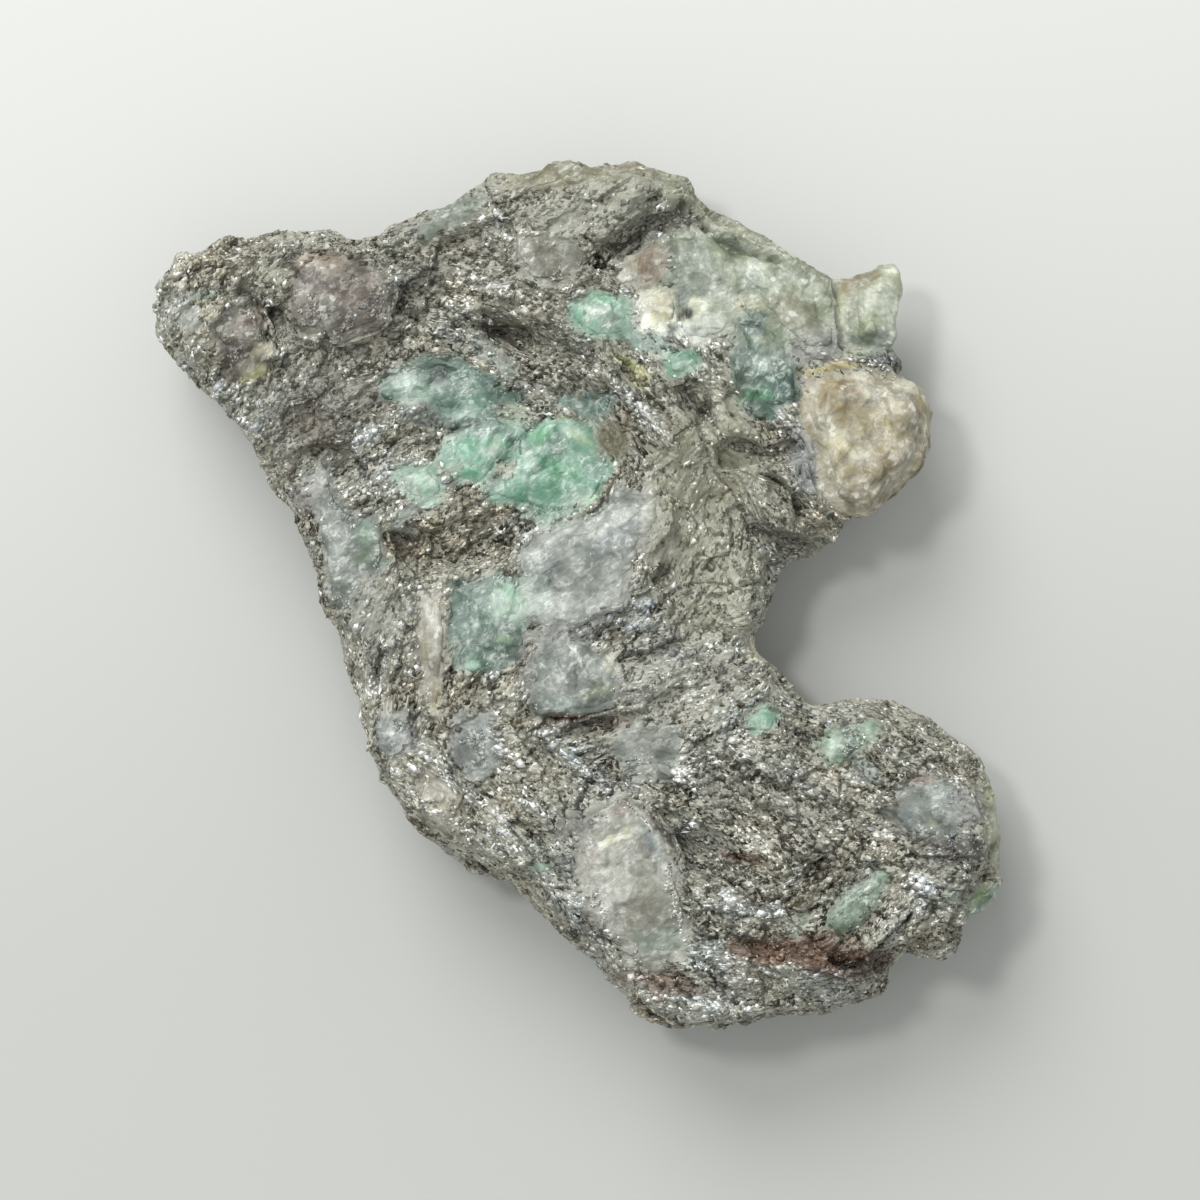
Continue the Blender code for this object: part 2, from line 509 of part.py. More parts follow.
def edge_crystal(name, depth, proud, outline):
    """A crystal that makes part of the stone's edge: a lump with broken walls all round."""
    plane = face_plane(outline)
    plane[2] += proud
    low = max(np.min(np.array(outline) @ plane[:2] + plane[2]) - depth, LOWEST_CRYSTAL)

    def top_of(plan, edge):
        rounding = LUMP_DROP * (1.0 - smooth_step(0.0, LUMP_DROP_WIDTH, edge))
        rough = LUMP_ROUGH * roughness_at(plan, LUMP_ROUGH_SIZE)
        return plan @ plane[:2] + plane[2] + rough - rounding

    def bottom_of(plan, edge):
        return low + LUMP_RISE * (1.0 - smooth_step(0.0, LUMP_RISE_WIDTH, edge))

    full_height = depth + proud
    reach = np.min(np.linalg.norm(np.array(outline) - np.mean(outline, axis=0), axis=1))
    solid = prism(name, outline, 0.0, full_height)
    solid = applied(solid, "REMESH", mode="VOXEL", voxel_size=LUMP_VOXEL * MM)
    sculpt(solid.data, outline, full_height, top_of, bottom_of, (0.0, LUMP_WALL_SHARE * reach))
    triangles = 2 * len(solid.data.polygons)
    return applied(solid, "DECIMATE", ratio=EDGE_CRYSTALS[name] / triangles), low


def pocket_cutter(name, outline, low):
    bottom = THROUGH if name in EDGE_CRYSTALS else low - POCKET_GAP
    cutter = prism("pocket_" + name, grown(outline, POCKET_GAP), bottom, CUTTER_TOP)
    cutter.hide_render = True
    cutter.display_type = "WIRE"
    return cutter


def cut_pocket(slab, cutter):
    cut = slab.modifiers.new(cutter.name, "BOOLEAN")
    cut.operation = "DIFFERENCE"
    cut.object = cutter


def main():
    clear_scene()
    materials = {name: mineral_material(name) for name in MINERALS}
    stone = bpy.data.collections.new("emerald_in_matrix")
    cutters = bpy.data.collections.new("pocket_cutters")
    for collection in (stone, cutters):
        bpy.context.scene.collection.children.link(collection)

    slab = schist_slab()
    members = [(slab, "schist")]
    helpers = []
    draw = np.random.default_rng(FACET_SEED)
    for name, (mineral, depth, proud, outline) in CRYSTALS.items():
        if name in EDGE_CRYSTALS:
            solid, low = edge_crystal(name, depth, proud, outline)
        else:
            solid, low = crystal(name, depth, proud, outline, draw)
        cutter = pocket_cutter(name, outline, low)
        cut_pocket(slab, cutter)
        members.append((solid, mineral))
        helpers.append(cutter)

    for solid, mineral in members:
        solid.data.materials.clear()
        solid.data.materials.append(materials[mineral])
        bpy.context.scene.collection.objects.unlink(solid)
        stone.objects.link(solid)
    for cutter in helpers:
        bpy.context.scene.collection.objects.unlink(cutter)
        cutters.objects.link(cutter)


main()
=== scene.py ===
# %% [markdown]
# # Emerald in mica schist
# This stone is a hand-sized slab of dark schist, which is layer on layer of tiny mica flakes. Green
# emeralds, grey-blue beryl and cream quartz grew in it, and it broke out of a larger rock, so every
# face is rough. A solid model gives the right size and the place of each crystal. It is far too plain
# to look real, so this lesson builds a fine surface around it.

# %% Load the solid model
import math

import bmesh
import bpy
import numpy as np
from mathutils.bvhtree import BVHTree
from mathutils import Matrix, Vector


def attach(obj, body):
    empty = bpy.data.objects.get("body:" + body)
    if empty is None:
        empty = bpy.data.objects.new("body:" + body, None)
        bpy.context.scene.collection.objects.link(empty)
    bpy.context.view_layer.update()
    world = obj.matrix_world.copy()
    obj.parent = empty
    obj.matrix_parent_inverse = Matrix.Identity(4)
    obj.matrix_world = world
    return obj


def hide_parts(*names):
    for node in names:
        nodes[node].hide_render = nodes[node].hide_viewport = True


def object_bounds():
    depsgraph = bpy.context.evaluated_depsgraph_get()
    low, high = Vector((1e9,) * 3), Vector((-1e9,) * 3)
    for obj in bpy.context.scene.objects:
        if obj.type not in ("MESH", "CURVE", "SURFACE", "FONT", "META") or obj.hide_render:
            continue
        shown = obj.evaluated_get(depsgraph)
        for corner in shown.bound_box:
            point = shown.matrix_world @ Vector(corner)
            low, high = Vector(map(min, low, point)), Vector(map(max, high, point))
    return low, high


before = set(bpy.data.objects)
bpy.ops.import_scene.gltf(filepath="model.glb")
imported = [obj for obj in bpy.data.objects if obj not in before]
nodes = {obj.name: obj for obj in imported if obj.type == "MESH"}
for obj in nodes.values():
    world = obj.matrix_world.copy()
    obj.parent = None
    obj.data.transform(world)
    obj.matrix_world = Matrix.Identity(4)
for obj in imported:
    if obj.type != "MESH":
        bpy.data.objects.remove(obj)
solid_box = [list(corner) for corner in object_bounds()]
MM = 0.001
crystal_names = sorted(name for name in nodes if name != "schist_matrix")
print("crystals:", len(crystal_names))
print("box in mm:", [[round(v / MM, 1) for v in corner] for corner in solid_box])

# %% [markdown]
# ## The camera
# The stone lies on its back, so the camera hangs over it and looks straight down. A long lens from
# half a metre away keeps the edges of the slab from leaning outwards, as in a product photograph.

# %% Hang the camera over the stone
PICTURE_WIDTH = 96.0
PICTURE_CENTRE = (1.6, -0.64)
FACE_HEIGHT = 11.5
LENS = 200.0
SENSOR = 36.0

camera = bpy.data.objects.new("camera", bpy.data.cameras.new("camera"))
bpy.context.scene.collection.objects.link(camera)
camera.data.lens = LENS
camera.data.sensor_width = SENSOR
camera_height = FACE_HEIGHT + PICTURE_WIDTH * LENS / SENSOR
camera.location = (PICTURE_CENTRE[0] * MM, PICTURE_CENTRE[1] * MM, camera_height * MM)
camera.data.clip_start = 0.01
bpy.context.scene.camera = camera
print("camera height in mm:", round(camera_height, 1))

# %% [markdown]
# ## Shader maths as expressions
# A material is a graph of nodes, and a long one is hard to read. This small class wraps one socket, so
# that `1 - mask` or `cloud * 0.5 + crack` adds the Math nodes by itself. Colours go through Mix nodes,
# because a Math node would turn them grey.


# %% A socket that can be added and multiplied
class Wire:
    """One output of a shader graph."""

    def __init__(self, tree, socket):
        self.tree = tree
        self.socket = socket

    def node(self, kind, settings, inputs, output=0):
        """Adds a node of any type, sets it up, connects or fills its inputs, and gives one output."""
        made = self.tree.nodes.new("ShaderNode" + kind)
        for name, value in settings.items():
            if name == "stops":
                fill_ramp(made.color_ramp, value)
            else:
                setattr(made, name, value)
        for name, value in inputs.items():
            if isinstance(value, Wire):
                self.tree.links.new(value.socket, made.inputs[name])
            else:
                made.inputs[name].default_value = value
        return Wire(self.tree, made.outputs[output])

    def math(self, operation, first, second=0.0):
        return self.node("Math", {"operation": operation}, {0: first, 1: second})

    def __add__(self, other):
        return self.math("ADD", self, other)

    def __radd__(self, other):
        return self.math("ADD", other, self)

    def __sub__(self, other):
        return self.math("SUBTRACT", self, other)

    def __rsub__(self, other):
        return self.math("SUBTRACT", other, self)

    def __mul__(self, other):
        return self.math("MULTIPLY", self, other)

    def __rmul__(self, other):
        return self.math("MULTIPLY", other, self)

    def __abs__(self):
        return self.math("ABSOLUTE", self)

    def limit(self, low, high):
        """Spreads the stretch from low to high over 0 to 1, with soft ends."""
        settings = {"interpolation_type": "SMOOTHSTEP", "clamp": True}
        return self.node("MapRange", settings, {"Value": self, "From Min": low, "From Max": high})

    def mix(self, first, second):
        """Goes from the first colour to the second as this value goes from 0 to 1."""
        colours = {6: as_colour(first), 7: as_colour(second)}
        return self.node("Mix", {"data_type": "RGBA"}, {0: self, **colours}, 2)

    def moved(self, offset):
        return self.node("VectorMath", {"operation": "ADD"}, {0: self, 1: offset})

    def stretched(self, sizes, turn=0.0):
        """Coordinates turned about Z, then counted in the given sizes."""
        rotation = (0.0, 0.0, -math.radians(turn))
        settings = {"vector_type": "POINT"}
        turned = self.node("Mapping", settings, {"Vector": self, "Rotation": rotation})
        scale = tuple(1.0 / size for size in sizes)
        return turned.node("VectorMath", {"operation": "MULTIPLY"}, {0: turned, 1: scale})

    def noise(self, size, detail, rough=0.55):
        """Cloudy noise from 0 to 1, with lumps about as large as size."""
        inputs = {"Vector": self, "Scale": 1.0 / size, "Detail": detail, "Roughness": rough}
        return self.node("TexNoise", {}, inputs)

    def warped(self, size, amount):
        """Coordinates pushed about by noise, by up to half the amount."""
        push = self.node("TexNoise", {}, {"Vector": self, "Scale": 1.0 / size, "Detail": 1.0}, "Color")
        inputs = {0: push, 1: (amount, amount, amount), 2: self}
        return self.node("VectorMath", {"operation": "MULTIPLY_ADD"}, inputs)

    def facets(self):
        """Cells one unit wide: the height of a flat slant in each, and a random number for each."""
        spot = self.node("TexVoronoi", {"feature": "F1"}, {"Vector": self, "Scale": 1.0}, "Position")
        tint = Wire(self.tree, spot.socket.node.outputs["Color"])
        away = self.node("VectorMath", {"operation": "SUBTRACT"}, {0: self, 1: spot})
        slant = self.node("VectorMath", {"operation": "SUBTRACT"}, {0: tint, 1: (0.5, 0.5, 0.5)})
        height = self.node("VectorMath", {"operation": "DOT_PRODUCT"}, {0: away, 1: slant}, "Value")
        return height, self.node("SeparateColor", {}, {0: tint}, 2)


def fill_ramp(ramp, stops):
    while len(ramp.elements) < len(stops):
        ramp.elements.new(1.0)
    for element, (place, colour) in zip(ramp.elements, stops):
        element.position = place
        element.color = as_colour(colour)


def as_colour(value):
    return (*value, 1.0) if isinstance(value, tuple) and len(value) == 3 else value


def product(first, second):
    """Two colours multiplied."""
    settings = {"data_type": "RGBA", "blend_type": "MULTIPLY"}
    return second.node("Mix", settings, {0: 1.0, 6: as_colour(first), 7: second}, 2)


def times(colour, value):
    """A colour made darker or lighter by a value."""
    grey = value.node("CombineColor", {}, {0: value, 1: value, 2: value})
    return product(colour, grey)


# %% [markdown]
# Every material starts the same way: an empty one with its shader, and the place on the stone in
# millimetres. Counting in millimetres makes each pattern's size easy to check against the real stone.


# %% Start a material
def new_material(name, **constants):
    """A material, its shader's inputs, and the place on the stone in millimetres."""
    material = bpy.data.materials.new(name)
    material.use_nodes = True
    tree = material.node_tree
    shader = tree.nodes["Principled BSDF"]
    for socket, value in constants.items():
        shader.inputs[socket.replace("_", " ")].default_value = value
    start = Wire(tree, None)
    place = start.node("TexCoord", {}, {}, "Object")
    place = place.node("VectorMath", {"operation": "SCALE"}, {0: place, "Scale": 1.0 / MM})
    return material, shader, place


def feed(shader, **links):
    for name, wire in links.items():
        wire.tree.links.new(wire.socket, shader.inputs[name.replace("_", " ")])


def bump(height, distance):
    """A surface normal from a height, whose unit is this distance in millimetres."""
    return height.node("Bump", {}, {"Height": height, "Strength": 1.0, "Distance": distance * MM})


# %% [markdown]
# ## Repeatable noise on points
# The large shapes are moved in numpy, thousands of points at once. Two patterns do nearly all of the
# work: smooth noise, and plates. Plates are flat tilted cells with steps between them, which is how both
# schist and crystals break.

# %% Noise and plates for numpy points
AXIS_FACTORS = np.array((73856093, 19349663, 83492791), dtype=np.int64)
SEED_FACTOR = 668265263
SCRAMBLE = ((15, 2246822519), (13, 3266489917))
LAST_SHIFT = 16
WORD = 0xFFFFFFFF
JITTER = 0.45


def hashed(cells, seed):
    """A number from -1 to 1 for each whole-number place, the same every time."""
    factors = AXIS_FACTORS[: cells.shape[1]]
    mixed = (cells.astype(np.int64) * factors).sum(axis=1) + seed * SEED_FACTOR
    for shift, factor in SCRAMBLE:
        mixed = (mixed ^ (mixed >> shift)) * factor & WORD
    mixed = (mixed ^ (mixed >> LAST_SHIFT)) & WORD
    return mixed / (WORD // 2) - 1.0


def smooth_step(low, high, value):
    """Goes from 0 to 1, with soft ends, as the value goes from low to high."""
    share = np.clip((value - low) / (high - low), 0.0, 1.0)
    return share * share * (3.0 - 2.0 * share)


def smooth_noise(places, seed):
    """Noise from about -1 to 1, with lumps one unit wide."""
    base = np.floor(places)
    share = smooth_step(0.0, 1.0, places - base)
    total = np.zeros(len(places))
    for corner in np.ndindex(*(2,) * places.shape[1]):
        weight = np.prod(np.where(np.array(corner) == 1, share, 1.0 - share), axis=1)
        total += weight * hashed(base + corner, seed)
    return total


def layered_noise(places, size, layers, seed):
    """Lumps of this size, with layers of ever finer ones on them."""
    total = np.zeros(len(places))
    for layer in range(layers):
        total += smooth_noise(places * 2.0**layer / size, seed + layer) / 2.0**layer
    return total


def plates(places, seed, step, tilt):
    """Flat cells about one unit wide, each at its own height and slant."""
    base = np.floor(places)
    nearest = np.full(len(places), np.inf)
    height = np.zeros(len(places))
    for corner in np.ndindex(*(3,) * places.shape[1]):
        cell = base + corner - 1.0
        jitter = np.stack([hashed(cell, seed + axis) for axis in range(places.shape[1])], axis=1)
        away = places - (cell + 0.5 + JITTER * jitter)
        distance = np.sum(away**2, axis=1)
        slants = np.stack([hashed(cell, seed + 5 + axis) for axis in range(places.shape[1])], axis=1)
        value = step * hashed(cell, seed + 9) + tilt * np.sum(away * slants, axis=1)
        closer = distance < nearest
        height = np.where(closer, value, height)
        nearest = np.where(closer, distance, nearest)
    return height


# %% [markdown]
# ## Meshes in and out of numpy
# These helpers read a mesh's points and normals, write them back, and work a modifier into a mesh.
# All of them count in millimetres.


# %% Mesh helpers
def points_of(mesh):
    points = np.empty(3 * len(mesh.vertices))
    mesh.vertices.foreach_get("co", points)
    return points.reshape(-1, 3) / MM


def normals_of(mesh):
    normals = np.empty(3 * len(mesh.vertices))
    mesh.vertex_normals.foreach_get("vector", normals)
    return normals.reshape(-1, 3)


def move_points(mesh, points):
    mesh.vertices.foreach_set("co", (points * MM).ravel())
    mesh.update()


def triangles_of(mesh):
    mesh.calc_loop_triangles()
    corners = np.empty(3 * len(mesh.loop_triangles), dtype=np.int32)
    mesh.loop_triangles.foreach_get("vertices", corners)
    return corners.reshape(-1, 3)


def mesh_from(name, points, triangles):
    mesh = bpy.data.meshes.new(name)
    mesh.vertices.add(len(points))
    mesh.vertices.foreach_set("co", (points * MM).astype(np.float32).ravel())
    mesh.loops.add(triangles.size)
    mesh.loops.foreach_set("vertex_index", triangles.astype(np.int32).ravel())
    mesh.polygons.add(len(triangles))
    mesh.polygons.foreach_set("loop_start", np.arange(0, triangles.size, 3, dtype=np.int32))
    mesh.update(calc_edges=True)
    return mesh


def new_object(name, mesh):
    made = bpy.data.objects.new(name, mesh)
    bpy.context.scene.collection.objects.link(made)
    return made


def work_in(source, kind, **settings):
    """Works one modifier into an object's mesh."""
    modifier = source.modifiers.new(kind.title(), kind)
    for name, value in settings.items():
        setattr(modifier, name, value)
    bpy.context.view_layer.update()
    evaluated = source.evaluated_get(bpy.context.evaluated_depsgraph_get())
    mesh = bpy.data.meshes.new_from_object(evaluated)
    old = source.data
    source.modifiers.clear()
    source.data = mesh
    bpy.data.meshes.remove(old)


def colour_attribute(mesh, name, colours):
    """Stores one colour for each point, with its strength as alpha."""
    layer = mesh.color_attributes.new(name, "FLOAT_COLOR", "POINT")
    layer.data.foreach_set("color", colours.astype(np.float32).ravel())


def welded(node, grow=0.0):
    """A copy of a solid with its corners joined, made larger all round."""
    shape = bmesh.new()
    shape.from_mesh(node.data)
    bmesh.ops.remove_doubles(shape, verts=shape.verts, dist=1e-6)
    bmesh.ops.recalc_face_normals(shape, faces=shape.faces)
    shape.normal_update()
    for vertex in shape.verts:
        vertex.co += vertex.normal * grow * MM
    mesh = bpy.data.meshes.new(node.name + "_copy")
    shape.to_mesh(mesh)
    shape.free()
    return mesh


# %% [markdown]
# ## Which way the mica lies
# Schist has a grain, because its flakes lie in streaks. On this stone most streaks climb to the right, lie
# nearly level on the lower lobe, and follow the long edge at the lower left. Nineteen listed directions are
# enough: each place takes its direction from those near it.

# %% Grain direction over the stone
GRAIN = {
    "left tip": (-28.0, 21.0, 48.0),
    "rosy hill": (-18.0, 26.0, 24.0),
    "foliated ridge": (2.0, 31.0, 26.0),
    "below the ridge": (-5.0, 22.5, -14.0),
    "top right rim": (15.0, 28.0, -38.0),
    "left of the greens": (-17.0, 12.0, 30.0),
    "hollow": (-9.0, 4.0, 34.0),
    "centre": (0.0, 2.0, 34.0),
    "beside the greens": (6.0, 17.0, -46.0),
    "olive slope": (9.0, 6.0, 62.0),
    "fold": (15.0, 9.0, -42.0),
    "side": (-18.0, -3.0, 66.0),
    "long edge": (-10.0, -20.0, -40.0),
    "saddle": (10.0, -7.0, 24.0),
    "above the lobe": (25.0, -9.0, -30.0),
    "middle of the lobe": (15.0, -17.0, -30.0),
    "lobe": (27.0, -19.0, -14.0),
    "lower lobe": (23.0, -25.0, 34.0),
    "foot": (15.0, -29.5, -12.0),
}
GRAIN_SOFTNESS = 4.0
WOBBLE = 2.5
WOBBLE_SIZE = 5.0


def grain_angle(plan):
    """The direction of the mica's streaks, in radians, at places in the plane."""
    total = np.zeros((len(plan), 2))
    for x, y, degrees in GRAIN.values():
        weight = 1.0 / (np.sum((plan - (x, y)) ** 2, axis=1) + GRAIN_SOFTNESS) ** 1.5
        double = math.radians(2.0 * degrees)
        total += weight[:, None] * (math.cos(double), math.sin(double))
    return 0.5 * np.arctan2(total[:, 1], total[:, 0])


def grain_places(plan, length, width):
    """Coordinates that run along the nearest streak and across it, counted in the given sizes."""
    wobble = WOBBLE * np.column_stack([smooth_noise(plan / WOBBLE_SIZE, seed) for seed in (40, 41)])
    spots = np.array([(x, y) for x, y, _ in GRAIN.values()])
    angles = np.radians([degrees for _, _, degrees in GRAIN.values()])
    nearest = np.argmin(np.linalg.norm((plan + wobble)[:, None] - spots[None], axis=2), axis=1)
    angle = angles[nearest]
    along = plan[:, 0] * np.cos(angle) + plan[:, 1] * np.sin(angle)
    across = -plan[:, 0] * np.sin(angle) + plan[:, 1] * np.cos(angle)
    return np.column_stack([along / length + 7.0 * nearest, across / width])


def bands(plan):
    """Long bands along the grain, from about -1 in the dark ones to 1 in the silvery ones."""
    return layered_noise(grain_places(plan, 8.0, 1.5), 1.0, 2, 140)


# %% [markdown]
# ## What each crystal is made of
# The greens go from leaf green in the middle through mint to teal, the beryl is grey-blue, and the
# quartz is cream or smoky. One row for each material gives its slot, its main colour, how milky it is,
# how sugary, the direction of its fine lines, and the crystals that are made of it.

# %% Colours of the crystals
WHITE = (0.78, 0.80, 0.74)
MINERALS = {
    "emerald_leaf": ("emerald", (0.263, 0.407, 0.328), 0.35, 0.0, 34.0, ["emerald_right"]),
    "emerald_soft": ("emerald", (0.312, 0.462, 0.380), 0.40, 0.0, 48.0, ["emerald_left"]),
    "emerald_teal": (
        "emerald", (0.181, 0.258, 0.222), 0.40, 0.0, 28.0,
        ["emerald_teal_band", "emerald_sliver"],
    ),
    "emerald_mint": (
        "emerald", (0.320, 0.462, 0.370), 0.50, 0.0, 40.0,
        ["emerald_mint", "emerald_chip", "emerald_bay_chip", "beryl_mint_grain"],
    ),
    "emerald_deep": ("emerald", (0.108, 0.184, 0.158), 0.45, 0.0, 60.0, ["emerald_deep"]),
    "emerald_grain": (
        "emerald", (0.27, 0.335, 0.27), 0.40, 0.3, 38.0,
        ["emerald_lobe_splinter", "emerald_lobe_streak", "emerald_rim_chip"],
    ),
    "beryl_blue_grey": ("beryl", (0.381, 0.400, 0.374), 0.45, 0.0, 34.0, ["beryl_striated"]),
    "beryl_teal_grey": ("beryl", (0.222, 0.289, 0.250), 0.45, 0.0, 70.0, ["beryl_teal_block"]),
    "beryl_grey": (
        "beryl", (0.266, 0.291, 0.265), 0.40, 0.2, 40.0,
        ["beryl_grey_block", "beryl_blue_patch", "beryl_small_patch", "beryl_middle_patch",
         "beryl_side_patch", "beryl_lobe_patch"],
    ),
    "beryl_lavender": ("beryl", (0.410, 0.412, 0.372), 0.40, 0.3, 38.0, ["beryl_prism"]),
    "beryl_rosy": ("beryl", (0.158, 0.144, 0.114), 0.30, 0.4, 20.0, ["beryl_rosy", "beryl_tip_patch"]),
    "beryl_pale": (
        "beryl", (0.475, 0.495, 0.395), 0.40, 0.5, -30.0,
        ["beryl_grey_green", "beryl_pale_right", "beryl_tip"],
    ),
    "quartz_milk": ("quartz", (0.780, 0.805, 0.730), 0.60, 0.8, 10.0, ["quartz_white", "quartz_cream"]),
    "quartz_grey": ("quartz", (0.29, 0.285, 0.245), 0.30, 0.6, 20.0, ["quartz_lump"]),
    "feldspar": (
        "quartz", (0.41, 0.395, 0.335), 0.40, 0.4, 84.0,
        ["feldspar_pink", "feldspar_vein", "quartz_corner_chip"],
    ),
    "quartz_smoky": ("quartz", (0.415, 0.385, 0.295), 0.45, 1.0, 60.0, ["quartz_nodule"]),
}
BODY = {name: body for _, body, _, _, _, names in MINERALS.values() for name in names}
print("materials:", len(MINERALS), "crystals without one:", sorted(set(crystal_names) - set(BODY)))

# %% [markdown]
# Many steps ask which crystal is nearest, and how deep a point is inside it. A tree of all the crystals'
# faces answers that quickly. A second tree, of the slab, tells how far a crystal's own points are from
# the schist, because its rim looks different from its middle.


# %% Trees for the crystals and the slab
def welded_tree(names):
    """A search tree of the named solids, and which of them each face belongs to."""
    joined = bmesh.new()
    owners = []
    for index, name in enumerate(names):
        before = len(joined.faces)
        joined.from_mesh(welded(nodes[name]))
        owners += [index] * (len(joined.faces) - before)
    tree = BVHTree.FromBMesh(joined)
    joined.free()
    return tree, np.array(owners)


crystal_tree, crystal_owner = welded_tree(crystal_names)
slab_tree, _ = welded_tree(["schist_matrix"])
BODY_COLOURS = np.array([BODY[name] for name in crystal_names])
FAR = 9.0


def crystal_near(points):
    """How deep each point is inside a crystal in mm, below 0 outside, and that crystal's main colour."""
    depth = np.full(len(points), -FAR)
    owner = np.zeros(len(points), dtype=int)
    for index, point in enumerate((points * MM).tolist()):
        spot, normal, face, distance = crystal_tree.find_nearest(point, FAR * MM)
        if spot is not None:
            outward = sum((p - s) * n for p, s, n in zip(point, spot, normal))
            depth[index] = math.copysign(distance / MM, -outward)
            owner[index] = crystal_owner[face]
    return depth, BODY_COLOURS[owner]


def slab_distance(points):
    found = (slab_tree.find_nearest(point) for point in (points * MM).tolist())
    return np.array([distance for _, _, _, distance in found]) / MM


# %% [markdown]
# ## Stains of colour
# Nothing here has one colour. Parts of the schist are olive, rusty or rosy, the green of the emeralds has
# spread into it, and the crystals have pale veils and dark corners. Some stains are painted light: the
# near-black ones along crevices are painted shade, and a white one and a silver one are painted glints.
# Each stain is an ellipse with a ragged edge: where it is, its two half sizes, its turn, its colour, how
# strong it is, and how smooth the stone is there.

# %% The stains, in millimetres
OLIVE = (0.29, 0.28, 0.20)
PALE_OLIVE = (0.36, 0.37, 0.28)
SAGE = (0.36, 0.39, 0.32)
RUST = (0.102, 0.053, 0.030)
# Painted shade: near black, laid along the crevices and in small hollows, where the stone is in shadow.
PAINTED_DEEP_SHADE = (0.050, 0.044, 0.036)
# Dark brown of the hollows: partly the stone's own brown, partly painted shade where the hollow lies in
# shadow.
BROWN_AND_PAINTED_SHADE = (0.110, 0.085, 0.050)
ROSY = (0.24, 0.19, 0.165)
PALE_GREY = (0.35, 0.37, 0.34)
BLUE_GREY = (0.30, 0.33, 0.33)
# Painted glint: pale silver laid where a cluster of mica flakes glints.
PAINTED_GLINT_SILVER = (0.66, 0.67, 0.63)
TEAL_GREY = (0.31, 0.38, 0.33)
TEAL_DARK = (0.11, 0.17, 0.14)
LEAF = (0.13, 0.32, 0.19)
YELLOW = (0.47, 0.47, 0.27)
CREAM = (0.60, 0.57, 0.44)

